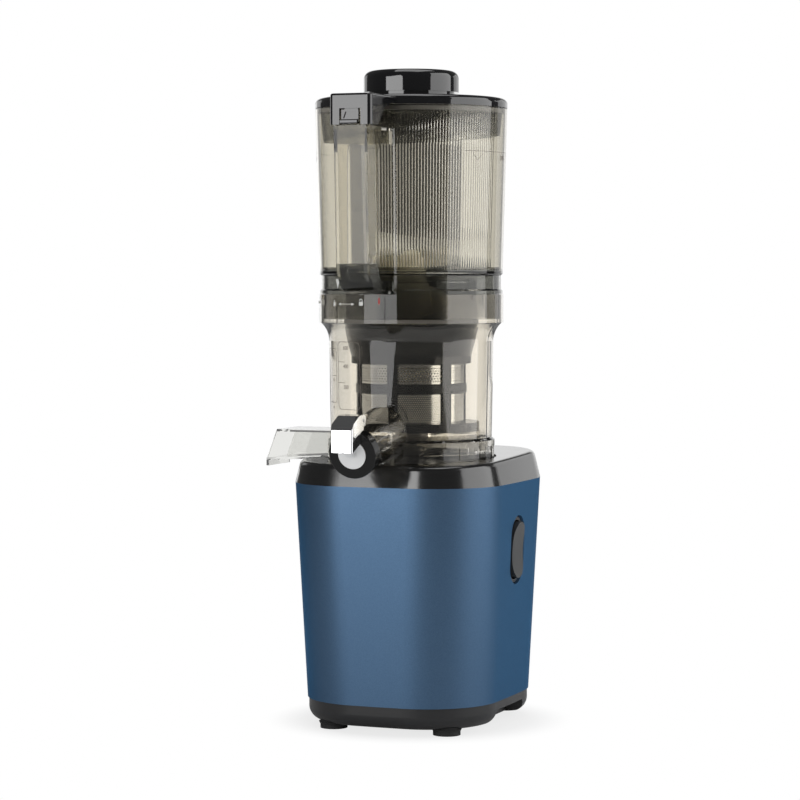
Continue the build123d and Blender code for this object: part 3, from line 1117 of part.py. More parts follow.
# ================================================================ hopper
SPIGOT_RADIUS_OUT = COLLAR_BORE - FREE
FEED_Z = STRAINER_TOP + 3.6
ELBOW_TOP = HOPPER_FLOOR + ELBOW_JOINT
HANDLE_FOOT = HANDLE_FRONT - HANDLE_RAKE
with BuildPart() as elbow:
    with BuildSketch(Plane.YZ):
        with BuildLine():
            ThreePointArc((-HANDLE_FOOT, ELBOW_TOP), (-HANDLE_FOOT + 7.5, ELBOW_TOP - 15.5),
                          (-HANDLE_FOOT + 26, HOPPER_BASE_Z + TOUCH))
            Polyline((-HANDLE_FOOT + 26, HOPPER_BASE_Z + TOUCH),
                     (-HOPPER_BASE_RADIUS + 4, HOPPER_BASE_Z + TOUCH),
                     (-HOPPER_BASE_RADIUS + 4, HOPPER_BASE_Z + ELBOW_FOOT),
                     (-HANDLE_BACK + 10, HOPPER_BASE_Z + ELBOW_FOOT))
            ThreePointArc((-HANDLE_BACK + 10, HOPPER_BASE_Z + ELBOW_FOOT),
                          (-HANDLE_BACK + 1.6, ELBOW_TOP - 9.6),
                          (-HANDLE_BACK, ELBOW_TOP))
            Line((-HANDLE_BACK, ELBOW_TOP), (-HANDLE_FOOT, ELBOW_TOP))
        make_face()
    extrude(amount=HANDLE_WIDTH / 2, both=True)
    with BuildSketch(Plane.YZ):
        with BuildLine():
            ThreePointArc((-HANDLE_FOOT + 2.2, ELBOW_TOP + 1), (-HANDLE_FOOT + 9.2, ELBOW_TOP - 13.8),
                          (-HANDLE_FOOT + 26, HOPPER_BASE_Z + HANDLE_WALL))
            Polyline((-HANDLE_FOOT + 26, HOPPER_BASE_Z + HANDLE_WALL),
                     (-HOPPER_BASE_RADIUS - 1.5, HOPPER_BASE_Z + HANDLE_WALL),
                     (-HOPPER_BASE_RADIUS - 1.5, HOPPER_BASE_Z + 2 * ELBOW_FOOT),
                     (-HANDLE_BACK + 4, ELBOW_TOP + 1),
                     (-HANDLE_FOOT + 2.2, ELBOW_TOP + 1))
        make_face()
    extrude(amount=HANDLE_WIDTH / 2 - HANDLE_WALL, both=True, mode=Mode.SUBTRACT)

with BuildPart() as hopper_base:
    band = HOPPER_BASE_RADIUS
    add(turned((band, HOPPER_BASE_Z), (band, HOPPER_BASE_Z + 2.5), (band - WAIST_DEPTH, HOPPER_BASE_Z + 3.6),
               (band - WAIST_DEPTH, HOPPER_FLOOR - 4), (band, HOPPER_FLOOR - 2.9), (band, HOPPER_FLOOR),
               (band - 2.6, HOPPER_FLOOR), (band - 2.6, HOPPER_FLOOR + 2), (band - 4.8, HOPPER_FLOOR + 2),
               (band - 4.8, HOPPER_FLOOR - 1), (FEED_RADIUS, HOPPER_FLOOR - FLOOR_FALL),
               (FEED_RADIUS, HOPPER_FLOOR - FLOOR_FALL - FEED_WALL),
               (FEED_RADIUS + 2, HOPPER_FLOOR - FLOOR_FALL - 3),
               (FEED_RADIUS + 2, FEED_Z), (FEED_RADIUS + 2 + FEED_WALL, FEED_Z),
               (FEED_RADIUS + 2 + FEED_WALL, HOPPER_FLOOR - FLOOR_FALL - 1.5),
               (SPIGOT_RADIUS_OUT - SPIGOT_WALL, HOPPER_FLOOR - 4.6),
               (SPIGOT_RADIUS_OUT - SPIGOT_WALL, HOPPER_BASE_Z - SPIGOT_DEPTH),
               (SPIGOT_RADIUS_OUT, HOPPER_BASE_Z - SPIGOT_DEPTH),
               (SPIGOT_RADIUS_OUT, HOPPER_BASE_Z)))
    add(elbow.part)
    for azimuth in BAYONET_ANGLES:
        add(sector(SPIGOT_RADIUS_OUT + LUG_DEPTH, SPIGOT_RADIUS_OUT - 1, LUG_Z, LUG_HEIGHT, azimuth + 0.5,
                   LUG_ANGLE - 0.5))
keep("hopper_base", hopper_base)

with BuildPart() as hopper_seal:
    add(ring(FUNNEL_RADIUS - 1.2, FEED_RADIUS + 2.4, STRAINER_TOP + 0.2, FEED_Z - STRAINER_TOP - 0.2 - TOUCH))
keep("hopper_seal", hopper_seal)

JAR_Z = HOPPER_FLOOR + TOUCH
with BuildPart() as hinge_ears:
    add(across(HINGE_WIDTH, (HOPPER_RADIUS - 2, HINGE_Z - 16), (HOPPER_RADIUS - 2, HOPPER_RIM),
               (HINGE_Y, HOPPER_RIM),
               (HINGE_Y + HINGE_RADIUS, HINGE_Z), (HINGE_Y + HINGE_RADIUS * 0.7,
                                                   HINGE_Z - HINGE_RADIUS * 0.7)))
    add(cross_rod(HINGE_RADIUS, HINGE_Y, HINGE_Z, HINGE_WIDTH / 2))
    Box(HINGE_KNUCKLE + 2 * FREE, 400, 4 * HINGE_Z, mode=Mode.SUBTRACT)
    add(cross_rod(HINGE_PIN_RADIUS + TOUCH / 2, HINGE_Y, HINGE_Z, HINGE_WIDTH), mode=Mode.SUBTRACT)

with BuildPart() as hopper_jar:
    add(hinge_ears.part)
    add(turned((0, JAR_Z), (HOPPER_BASE_RADIUS, JAR_Z), (HOPPER_RADIUS, HOPPER_RIM), (0, HOPPER_RIM)))
    add(turned((0, JAR_Z - 1), (HOPPER_BASE_RADIUS - HOPPER_WALL, JAR_Z - 1),
               (HOPPER_BASE_RADIUS - HOPPER_WALL, JAR_Z),
               (HOPPER_RADIUS - HOPPER_WALL, HOPPER_RIM), (HOPPER_RADIUS - HOPPER_WALL, HOPPER_RIM + 1),
               (0, HOPPER_RIM + 1)), mode=Mode.SUBTRACT)
keep("hopper_jar", hopper_jar)

HANDLE_TOP = HOPPER_RIM - HANDLE_TOP_DROP
ARM_Z = HANDLE_TOP - HANDLE_ARM
CATCH_FRONT = HANDLE_FRONT - 5.0
with BuildPart() as hopper_handle:
    with BuildSketch(Plane.YZ):
        with BuildLine():
            Polyline((-HANDLE_FOOT, ELBOW_TOP + TOUCH), (-HANDLE_FRONT, HANDLE_TOP),
                     (-HOPPER_RADIUS + 3, HANDLE_TOP),
                     (-HOPPER_RADIUS + 3, ARM_Z), (-HANDLE_BACK + 7, ARM_Z))
            RadiusArc((-HANDLE_BACK + 7, ARM_Z), (-HANDLE_BACK, ARM_Z - 7), -7)
            Polyline((-HANDLE_BACK, ARM_Z - 7), (-HANDLE_BACK, ELBOW_TOP + TOUCH),
                     (-HANDLE_FOOT, ELBOW_TOP + TOUCH))
        make_face()
    extrude(amount=HANDLE_WIDTH / 2, both=True)
    add(across(CATCH_WIDTH, (-CATCH_FRONT, HANDLE_TOP - 2), (-CATCH_FRONT, HANDLE_TOP + CATCH_HEIGHT),
               (-CATCH_FRONT + CATCH_DEPTH, HANDLE_TOP + CATCH_HEIGHT),
               (-CATCH_FRONT + CATCH_DEPTH, HANDLE_TOP - 2)))
    add(across(HANDLE_WIDTH - 2 * HANDLE_WALL, (-HANDLE_FOOT + HANDLE_WALL, ELBOW_TOP - 2),
               (-HANDLE_FRONT + HANDLE_WALL, HANDLE_TOP - HANDLE_WALL),
               (-HOPPER_RADIUS - 3, HANDLE_TOP - HANDLE_WALL),
               (-HOPPER_RADIUS - 3, ARM_Z - 4), (-HANDLE_BACK + 1, ARM_Z - 12),
               (-HANDLE_BACK + 1, ELBOW_TOP - 2)),
        mode=Mode.SUBTRACT)
    add(across(CATCH_WIDTH - 2 * HANDLE_WALL, (-CATCH_FRONT + HANDLE_WALL, HANDLE_TOP - 4),
               (-CATCH_FRONT + HANDLE_WALL, HANDLE_TOP + CATCH_HEIGHT - HANDLE_WALL),
               (-CATCH_FRONT + CATCH_DEPTH - HANDLE_WALL, HANDLE_TOP + CATCH_HEIGHT - HANDLE_WALL),
               (-CATCH_FRONT + CATCH_DEPTH - HANDLE_WALL, HANDLE_TOP - 4)), mode=Mode.SUBTRACT)
    add(turned((0, JAR_Z - 20), (HOPPER_BASE_RADIUS + TOUCH, JAR_Z - 20), (HOPPER_BASE_RADIUS + TOUCH, JAR_Z),
               (HOPPER_RADIUS + TOUCH, HOPPER_RIM), (0, HOPPER_RIM)), mode=Mode.SUBTRACT)
keep("hopper_handle", hopper_handle)

with BuildPart() as lid_hinge_pin:
    add(cross_rod(HINGE_PIN_RADIUS, HINGE_Y, HINGE_Z, HINGE_WIDTH / 2 - 0.3))
keep("lid_hinge_pin", lid_hinge_pin)

# ================================================================ lid
BEAK_TOP = LID_TOP - 2.2
BEAK_Z = BEAK_TOP - BEAK_HEIGHT
SKIRT_TOP_RADIUS = HOPPER_RADIUS - HOPPER_WALL - 1.9
SLIT_TOP = BEAK_TOP - 11.0
LATCH_Y = -BEAK_FRONT + 4.5
LATCH_Z = BEAK_TOP - 6.2
LATCH_OPENING = LATCH_WIDTH + 2 * LATCH_SLIT
BEAK_SIDE = ((-BEAK_FRONT, BEAK_Z), (-BEAK_FRONT, BEAK_TOP), (-HOPPER_RADIUS + 14, BEAK_TOP),
             (-HOPPER_RADIUS + 14, LID_Z), (-HOPPER_RADIUS - 8, LID_Z), (-HOPPER_RADIUS - 22, BEAK_TOP - 9.5),
             (-BEAK_FRONT + BEAK_DEPTH, BEAK_Z))
with BuildPart() as beak:
    add(across(BEAK_WIDTH, *BEAK_SIDE))
    fillet(beak.edges().filter_by(Axis.Z).sort_by(Axis.Y)[:2], 3.5)
    fillet(beak.edges().group_by(Axis.Z)[-1].sort_by(Axis.Y)[:3], 1.6)
    add(across(BEAK_WIDTH - 2 * BEAK_WALL, (-BEAK_FRONT + BEAK_WALL, BEAK_Z - 1),
               (-BEAK_FRONT + BEAK_WALL, BEAK_TOP - BEAK_WALL), (-HOPPER_RADIUS - 1, BEAK_TOP - BEAK_WALL),
               (-HOPPER_RADIUS - 1, BEAK_Z - 1)), mode=Mode.SUBTRACT)
    # ears for the latch's pin
    for ear_x in (-LATCH_WIDTH / 2 - 1.6, LATCH_WIDTH / 2 + 1.6):
        with Locations((ear_x, LATCH_Y, LATCH_Z)):
            Box(2, 2 * (LATCH_Y + BEAK_FRONT - 1), 2 * (BEAK_TOP - 1 - LATCH_Z) - 6)
        with Locations((ear_x, LATCH_Y, BEAK_TOP - 3)):
            Box(2, 2 * (LATCH_Y + BEAK_FRONT - 1), 5)
    add(cross_rod(LATCH_PIN_RADIUS + TOUCH / 2, LATCH_Y, LATCH_Z, LATCH_WIDTH / 2 + 2.2), mode=Mode.SUBTRACT)
    with Locations((0, -BEAK_FRONT, BEAK_Z)):
        Box(LATCH_OPENING, 4 * BEAK_WALL, 2 * (SLIT_TOP - BEAK_Z), mode=Mode.SUBTRACT)

with BuildPart() as lid_shell:
    with Locations((0, 0, LID_Z)):
        Cylinder(LID_RADIUS, LID_THICKNESS, align=UP)
    fillet(lid_shell.edges().group_by(Axis.Z)[-1], LID_EDGE)
    with Locations((0, 0, LID_Z)):
        Cylinder(SKIRT_TOP_RADIUS - 1, LID_THICKNESS - LID_WALL, align=UP, mode=Mode.SUBTRACT)
    add(beak.part)
    with Locations((0, 0, LID_Z)):
        Cylinder(SKIRT_TOP_RADIUS - 1, LID_THICKNESS - LID_WALL, align=UP, mode=Mode.SUBTRACT)
    # knuckle of the rear hinge
    add(across(HINGE_KNUCKLE, (HOPPER_RADIUS - 5, LID_Z + 2.5), (HOPPER_RADIUS - 5, LID_Z + 5.5),
               (HINGE_Y + 1, HINGE_Z + HINGE_RADIUS - 0.1), (HINGE_Y + HINGE_RADIUS - 0.2, HINGE_Z),
               (HINGE_Y, HINGE_Z), (HINGE_Y - 2.6, HINGE_Z + 2.4)))
    add(cross_rod(HINGE_RADIUS, HINGE_Y, HINGE_Z, HINGE_KNUCKLE / 2))
    add(cross_rod(HINGE_PIN_RADIUS + RUNNING, HINGE_Y, HINGE_Z, HINGE_WIDTH), mode=Mode.SUBTRACT)
keep("lid_shell", lid_shell)

with BuildPart() as lid_knob:
    with Locations((0, 0, KNOB_Z)):
        Cylinder(KNOB_RADIUS, KNOB_HEIGHT, align=UP)
    fillet(lid_knob.edges().group_by(Axis.Z)[-1], KNOB_EDGE)
    with Locations((0, 0, LID_TOP + TOUCH)):
        Cylinder(KNOB_RADIUS - 3.4, KNOB_NECK, align=UP)
        Cylinder(KNOB_RADIUS - 3.4 - LID_WALL, KNOB_NECK + KNOB_HEIGHT - LID_WALL - 2, align=UP,
                 mode=Mode.SUBTRACT)
keep("lid_knob", lid_knob)

SEAL_Z = HOPPER_RIM - 4.0
with BuildPart() as lid_skirt:
    foot_front = HOPPER_RIM - LID_SKIRT_FRONT
    foot_rear = HOPPER_RIM - LID_SKIRT_REAR
    taper = SKIRT_TOP_RADIUS - LID_SKIRT_TAPER
    add(turned((0, foot_front - 4), (taper, foot_front - 4), (SKIRT_TOP_RADIUS, SEAL_Z - 1),
               (SKIRT_TOP_RADIUS, LID_Z - TOUCH), (0, LID_Z - TOUCH)))
    add(turned((0, foot_front - 5), (taper - LID_WALL, foot_front - 5),
               (SKIRT_TOP_RADIUS - LID_WALL, SEAL_Z - 1),
               (SKIRT_TOP_RADIUS - LID_WALL, LID_Z + 1), (0, LID_Z + 1)), mode=Mode.SUBTRACT)
    add(across(3 * LID_RADIUS, (-LID_RADIUS, foot_front - 10), (-LID_RADIUS, foot_front),
               (LID_RADIUS, foot_rear),
               (LID_RADIUS, foot_front - 10)), mode=Mode.SUBTRACT)
    add(ring(SKIRT_TOP_RADIUS + TOUCH, SKIRT_TOP_RADIUS - 0.8, SEAL_Z - TOUCH, 3 + 2 * TOUCH),
        mode=Mode.SUBTRACT)
keep("lid_skirt", lid_skirt)

with BuildPart() as lid_seal:
    add(ring(HOPPER_RADIUS - HOPPER_WALL - 0.42, SKIRT_TOP_RADIUS - 0.8 + TOUCH, SEAL_Z, 3))
keep("lid_seal", lid_seal)

LATCH_TOP = SLIT_TOP - FREE - (LATCH_Y + BEAK_FRONT) * sin(radians(LATCH_SWING))
LATCH_Z0 = BEAK_Z + 0.3
with BuildPart() as lid_latch:
    add(across(LATCH_WIDTH, (-BEAK_FRONT, LATCH_Z0), (-BEAK_FRONT, LATCH_TOP),
               (-BEAK_FRONT + BEAK_WALL, LATCH_TOP),
               (-BEAK_FRONT + BEAK_WALL, LATCH_Z0)))
    # finger ledge below a shallow pocket
    with BuildSketch(Plane.XZ.offset(BEAK_FRONT + 0.5)):
        with Locations((0, LATCH_Z0 + 6.6)):
            Trapezoid(10.6, 4.8, 70)
    extrude(amount=-1.6, mode=Mode.SUBTRACT)
    add(across(LATCH_WIDTH, (-BEAK_FRONT + 0.5, LATCH_Z0), (-BEAK_FRONT - LATCH_LEDGE + 0.8, LATCH_Z0),
               (-BEAK_FRONT - LATCH_LEDGE, LATCH_Z0 + 1), (-BEAK_FRONT - LATCH_LEDGE, LATCH_Z0 + 2.6),
               (-BEAK_FRONT + 0.5, LATCH_Z0 + 3.6)))
    # arm up to the barrel behind the beak's front
    add(across(LATCH_WIDTH - 3, (-BEAK_FRONT + BEAK_WALL - 0.5, LATCH_TOP - 7),
               (-BEAK_FRONT + BEAK_WALL - 0.5, LATCH_TOP - 4),
               (LATCH_Y - 1.8, LATCH_TOP - 1.2), (LATCH_Y - 1.8, LATCH_Z), (LATCH_Y - 0.4, LATCH_Z),
               (LATCH_Y - 0.4, LATCH_TOP - 5), (-BEAK_FRONT + BEAK_WALL + 0.6, LATCH_TOP - 7)))
    add(cross_rod(LATCH_BARREL, LATCH_Y, LATCH_Z, LATCH_WIDTH / 2))
    add(cross_rod(LATCH_PIN_RADIUS + RUNNING, LATCH_Y, LATCH_Z, LATCH_WIDTH), mode=Mode.SUBTRACT)
keep("lid_latch", lid_latch)

with BuildPart() as latch_pin:
    add(cross_rod(LATCH_PIN_RADIUS, LATCH_Y, LATCH_Z, LATCH_WIDTH / 2 + 2.1))
keep("latch_pin", latch_pin)

# ================================================================ export
whole = Compound([builder.part for builder in PIECES.values()]).bounding_box()
middle = whole.center()
os.makedirs("parts", exist_ok=True)
for name, builder in PIECES.items():
    piece = builder.part.moved(Location((-middle.X, -middle.Y, -whole.min.Z)))
    piece.label = name
    export_step(piece, f"parts/{name}.step")
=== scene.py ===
import json
import math

import bmesh
import bpy
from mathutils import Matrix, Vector


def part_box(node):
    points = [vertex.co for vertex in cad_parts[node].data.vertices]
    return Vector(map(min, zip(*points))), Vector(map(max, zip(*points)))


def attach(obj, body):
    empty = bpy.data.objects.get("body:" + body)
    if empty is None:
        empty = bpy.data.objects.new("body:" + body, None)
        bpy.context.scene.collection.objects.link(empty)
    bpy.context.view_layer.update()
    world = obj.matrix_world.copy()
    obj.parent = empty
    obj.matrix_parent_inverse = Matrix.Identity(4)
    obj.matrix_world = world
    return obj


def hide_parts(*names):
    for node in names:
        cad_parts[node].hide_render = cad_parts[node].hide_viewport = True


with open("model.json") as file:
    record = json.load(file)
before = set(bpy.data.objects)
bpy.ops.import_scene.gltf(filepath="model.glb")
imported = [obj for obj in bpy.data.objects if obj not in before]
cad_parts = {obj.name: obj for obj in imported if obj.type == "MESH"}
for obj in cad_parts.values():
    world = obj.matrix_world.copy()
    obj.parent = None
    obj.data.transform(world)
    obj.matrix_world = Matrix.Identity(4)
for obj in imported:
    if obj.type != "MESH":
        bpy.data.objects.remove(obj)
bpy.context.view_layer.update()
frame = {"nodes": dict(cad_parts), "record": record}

MM = 0.001
seal_low, seal_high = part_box("bowl_seal")
AXIS = Vector(((seal_low.x + seal_high.x) / 2, (seal_low.y + seal_high.y) / 2, 0))


def place(x, y, z):
    """A point given in millimetres from the juicing axis and the table."""
    return AXIS + Vector((x, y, z)) * MM


def around(radius, bearing, z):
    """A point on a circle round the juicing axis; bearings in degrees, 0 to the right, 270 to the front."""
    turn = math.radians(bearing)
    return place(radius * math.cos(turn), radius * math.sin(turn), z)


# ---------------------------------------------------------------- node trees
class Flow:
    """A value on its way from node to node; arithmetic on it adds the nodes."""

    def __init__(self, kit, socket):
        self.kit, self.socket = kit, socket

    def calc(self, operation, *others):
        """One step of arithmetic with this value first."""
        return self.kit.math(operation, self, *others)

    def __add__(self, other):
        return self.calc("ADD", other)

    def __radd__(self, other):
        return self.kit.math("ADD", other, self)

    def __sub__(self, other):
        return self.calc("SUBTRACT", other)

    def __rsub__(self, other):
        return self.kit.math("SUBTRACT", other, self)

    def __mul__(self, other):
        return self.calc("MULTIPLY", other)

    def __truediv__(self, other):
        return self.calc("DIVIDE", other)

    def __pow__(self, other):
        return self.calc("POWER", other)

    def __gt__(self, other):
        return self.calc("GREATER_THAN", other)

    def __lt__(self, other):
        return self.calc("LESS_THAN", other)

    def steps(self, low, high):
        """0 below one value and 1 above the other, smooth between them."""
        return self.kit.node("ShaderNodeMapRange", {"interpolation_type": "SMOOTHSTEP"},
                             {0: self, 1: low, 2: high})


class Kit:
    """Adds nodes to one tree, for materials and for geometry."""

    def __init__(self, tree):
        self.tree = tree

    def node(self, kind, settings=None, inputs=None, out=0):
        made = self.tree.nodes.new(kind)
        for name, value in (settings or {}).items():
            setattr(made, name, value)
        for key, value in (inputs or {}).items():
            if isinstance(value, Flow):
                self.tree.links.new(value.socket, made.inputs[key])
            else:
                made.inputs[key].default_value = value
        return Flow(self, made.outputs[out])

    def math(self, operation, *values):
        return self.node("ShaderNodeMath", {"operation": operation}, dict(enumerate(values)))

    def dot(self, where, direction):
        """How far a direction points along another."""
        return self.node("ShaderNodeVectorMath", {"operation": "DOT_PRODUCT"},
                         {0: where, 1: tuple(direction)}, "Value")

    def other(self, flow, out):
        """Another output of the node that a value came from."""
        return Flow(self, flow.socket.node.outputs[out])

    def colours(self, share, first, second):
        return self.node("ShaderNodeMix", {"data_type": "RGBA"}, {0: share, 6: first, 7: second}, 2)

    def stretched(self, where, scale):
        return self.node("ShaderNodeVectorMath", {"operation": "MULTIPLY"}, {0: where, 1: scale})

    def noise(self, where, scale, detail=2.0):
        return self.node("ShaderNodeTexNoise", {},
                         {"Vector": where, "Scale": scale, "Detail": detail})

    def apart(self, where):
        """The three parts of a vector."""
        split = self.node("ShaderNodeSeparateXYZ", {}, {0: where})
        return split, self.other(split, 1), self.other(split, 2)


def shade(colour, by=1.0):
    """A colour with its alpha, made lighter or darker."""
    return tuple(min(1.0, c * by) for c in colour) + (1.0,)


class Finish:
    """One material: object coordinates, a wandering colour and roughness, and a raised grain."""

    def __init__(self, name):
        self.material = bpy.data.materials.new(name)
        self.material.use_nodes = True
        self.material.node_tree.nodes.clear()
        self.kit = Kit(self.material.node_tree)
        self.where = self.kit.node("ShaderNodeTexCoord", out="Object")
        self.x, self.y, self.z = self.kit.apart(self.where)

    def noise(self, scale, detail=2.0):
        return self.kit.noise(self.where, scale, detail)

    def patches(self, colour, spread=0.06, scale=35.0):
        return self.kit.colours(self.noise(scale), shade(colour, 1 - spread), shade(colour, 1 + spread))

    def wander(self, low, high, scale=60.0):
        return low + self.noise(scale, 3.0) * (high - low)

    def raised(self, height, depth):
        return self.kit.node("ShaderNodeBump", {}, {"Strength": 1.0, "Distance": depth, "Height": height})

    def shader(self, colour, roughness, normal, **fixed):
        inputs = {"Base Color": colour, "Roughness": roughness, "Normal": normal}
        inputs.update({key.replace("_", " "): value for key, value in fixed.items()})
        return self.kit.node("ShaderNodeBsdfPrincipled", {}, inputs)

    def done(self, shader):
        end = self.kit.tree.nodes.new("ShaderNodeOutputMaterial")
        self.kit.tree.links.new(shader.socket, end.inputs[0])
        return self.material


def moulded(name, colour, low, high, grain=1500.0, depth=0.00003, spread=0.06, **fixed):
    """Injection-moulded plastic, rubber or cast metal with a fine even grain."""
    f = Finish(name)
    height = f.noise(grain, 3.0) + f.noise(grain * 0.12) * 0.5
    return f.done(f.shader(f.patches(colour, spread), f.wander(low, high), f.raised(height, depth), **fixed))


UPWARD, ROUND = (1.0, 1.0, 0.02), (0.03, 0.03, 1.0)      # which way the streaks of ground metal run


def ground(name, colour, low, high, run=UPWARD):
    """Turned, drawn or brushed metal: streaks that run up or round the piece."""
    f = Finish(name)
    lines = f.kit.noise(f.kit.stretched(f.where, run), 2600.0)
    tone = f.kit.colours(lines, shade(colour, 0.88), shade(colour, 1.08))
    return f.done(f.shader(tone, low + lines * (high - low), f.raised(lines, 0.000006), Metallic=1.0))


# painted shade: a darker tint for the bowl's foot and spout and a greyer one for the chute out to the left
FOOT_SHADE_TINT, FOOT_EDGE = (0.62, 0.60, 0.55), (0.219, 0.226)           # heights in metres
CHUTE_SHADE_TINT, CHUTE_EDGE = (0.71, 0.71, 0.685), (-0.064, -0.057)     # metres to the left of the axis


def bowl_painted_shade(f, tone):
    """Painted shade: the bowl's thick foot and its spout get a darker tint, the chute out to the left a
    greyer one.
    """
    tone = f.kit.colours(f.z.steps(*FOOT_EDGE), shade(FOOT_SHADE_TINT), tone)
    outer, inner = (AXIS.x + edge for edge in CHUTE_EDGE)
    return f.kit.colours(f.x.steps(outer, inner), shade(CHUTE_SHADE_TINT), tone)


def clear_plastic(name, tint, low, high, shadow=0.95, zones=None):
    """Clear tinted plastic. Lamps shine through it, less by its own tint."""
    f = Finish(name)
    tone = f.patches(tint, 0.012, 18.0)
    # zones lay painted shade over the tint: the bowl's darker foot and spout and greyer chute
    if zones is not None:
        tone = zones(f, tone)
    height = f.noise(70.0, 1.0) + f.noise(900.0) * 0.06
    body = f.shader(tone, f.wander(low, high, 45.0), f.raised(height, 0.000005), IOR=1.49,
                    Transmission_Weight=1.0)
    through = f.kit.node("ShaderNodeBsdfTransparent", {}, {0: shade(math.sqrt(c) for c in tint)})
    lamp = f.kit.node("ShaderNodeLightPath", out="Is Shadow Ray")
    return f.done(f.kit.node("ShaderNodeMixShader", {}, {0: lamp * shadow, 1: body, 2: through}))


def lacquer():
    """Satin metallic lacquer with fine flakes and a faint orange peel."""
    f = Finish("blue lacquer")
    flakes = f.kit.node("ShaderNodeTexVoronoi", {}, {"Vector": f.where, "Scale": 2600.0}, "Color")
    glint, _, _ = f.kit.apart(flakes)
    tone = f.kit.colours(glint * 0.5 + f.noise(9.0) * 0.3,
                         shade((0.078, 0.145, 0.246)), shade((0.112, 0.197, 0.320)))
    peel = f.noise(420.0) + glint * 0.35
    return f.done(f.shader(tone, f.wander(0.36, 0.44), f.raised(peel, 0.00001), Metallic=0.9,
                           Specular_Tint=shade((0.30, 0.55, 0.85))))


def laminated():
    """Stacked iron sheets with the edges showing."""
    f = Finish("stacked laminations")
    sheet = f.kit.node("ShaderNodeTexWave", {"bands_direction": "Z"},
                       {"Vector": f.where, "Scale": 320.0, "Distortion": 0.3})
    tone = f.kit.colours(sheet, shade((0.13, 0.13, 0.14)), shade((0.34, 0.34, 0.36)))
    return f.done(f.shader(tone, f.wander(0.4, 0.6), f.raised(sheet, 0.00006), Metallic=0.9))


def circuit_board():
    """Green laminate with copper lines under the lacquer."""
    f = Finish("circuit board")
    cells = f.kit.node("ShaderNodeTexBrick", {},
                       {"Vector": f.where, "Scale": 130.0, "Mortar Size": 0.06}, "Fac")
    tone = f.kit.colours(cells, shade((0.02, 0.12, 0.06)), shade((0.06, 0.24, 0.12)))
    return f.done(f.shader(tone, f.wander(0.3, 0.5), f.raised(cells, 0.00004)))


def plated():
    """Bright plating over moulded plastic, with a faint softness in the reflections."""
    f = Finish("bright plating")
    tone = f.patches((0.86, 0.87, 0.88), 0.02)
    return f.done(f.shader(tone, f.wander(0.05, 0.09), f.raised(f.noise(160.0, 1.0), 0.000006), Metallic=1.0))


def printed(name, colour):
    """Thin pad-printed ink."""
    f = Finish(name)
    return f.done(f.shader(f.patches(colour, 0.08, 900.0), f.wander(0.45, 0.65, 300.0),
                           f.raised(f.noise(3000.0), 0.000004)))


MATERIALS = {
    "blue_paint": lacquer(),
    "black_satin": moulded("black satin plastic", (0.020, 0.020, 0.021), 0.30, 0.38),
    "black_gloss": moulded("black gloss plastic", (0.008, 0.008, 0.009), 0.04, 0.08, 260.0, 0.000006,
                           Specular_IOR_Level=0.8, Coat_Weight=0.5, Coat_Roughness=0.03),
    "dark_grey": moulded("dark grey plastic", (0.036, 0.038, 0.040), 0.34, 0.44),
    "smoke_clear": clear_plastic("clear smoke plastic", (0.79, 0.765, 0.69), 0.0, 0.006),
    "dark_smoke": clear_plastic("dark smoke plastic", (0.36, 0.36, 0.335), 0.03, 0.07, shadow=0.8),
    "ivory": moulded("ivory plastic", (0.80, 0.74, 0.58), 0.28, 0.36, 1100.0, 0.00002),
    "strainer_black": moulded("strainer plastic", (0.006, 0.0065, 0.0065), 0.14, 0.22, 500.0, 0.00001,
                              Specular_IOR_Level=0.3),
    "steel_mesh": ground("perforated steel", (0.60, 0.60, 0.58), 0.08, 0.16, ROUND),
    "steel": ground("ground steel", (0.56, 0.56, 0.57), 0.18, 0.32),
    "zinc": moulded("zinc plating", (0.60, 0.61, 0.63), 0.28, 0.42, 900.0, 0.00001, Metallic=1.0),
    "chrome": plated(),
    "white_plug": moulded("plug plating", (0.97, 0.98, 0.99), 0.20, 0.26, 300.0, 0.000004, Metallic=0.5),
    "rubber": moulded("black rubber", (0.020, 0.020, 0.020), 0.62, 0.82, 1300.0, 0.00005),
    "silicone": moulded("grey silicone", (0.24, 0.24, 0.25), 0.45, 0.60, 900.0, 0.00002),
    "laminations": laminated(),
    "alloy": moulded("cast alloy", (0.58, 0.59, 0.61), 0.38, 0.52, 700.0, 0.00006, Metallic=1.0),
    "nylon": moulded("natural nylon", (0.80, 0.78, 0.70), 0.40, 0.52, 800.0, 0.00002),
    "brass": moulded("sintered brass", (0.72, 0.52, 0.22), 0.32, 0.48, 1600.0, 0.00003, Metallic=1.0),
    "board": circuit_board(),
}
# nodes that look a little different from the rest of their slot
OWN_FINISH = {
    # the bowl's tint carries painted shade at its foot, spout and chute
    "juice_bowl": clear_plastic("clear bowl plastic", (0.87, 0.835, 0.765), 0.002, 0.012, zones=bowl_painted_shade),
    "top_cover": moulded("black polished plastic", (0.010, 0.010, 0.010), 0.14, 0.20, 600.0, 0.000008,
                         Specular_IOR_Level=1.0, Coat_Weight=0.5, Coat_Roughness=0.12),
    "spout_ring": moulded("black spout plastic", (0.006, 0.006, 0.006), 0.05, 0.09, 300.0, 0.000006,
                          Specular_IOR_Level=0.35),
    "lid_skirt": MATERIALS["dark_smoke"],
}
DARK_INK = printed("grey ink", (0.20, 0.17, 0.15))
PALE_INK = printed("white ink", (0.80, 0.80, 0.78))
RED_INK = printed("red ink", (0.65, 0.04, 0.03))

SLOTS = {row["node"]: row["material_slot"] for row in frame["record"]["subparts"]}
for name, node in frame["nodes"].items():
    node.data.materials.clear()
    node.data.materials.append(OWN_FINISH.get(name, MATERIALS[SLOTS[name]]))


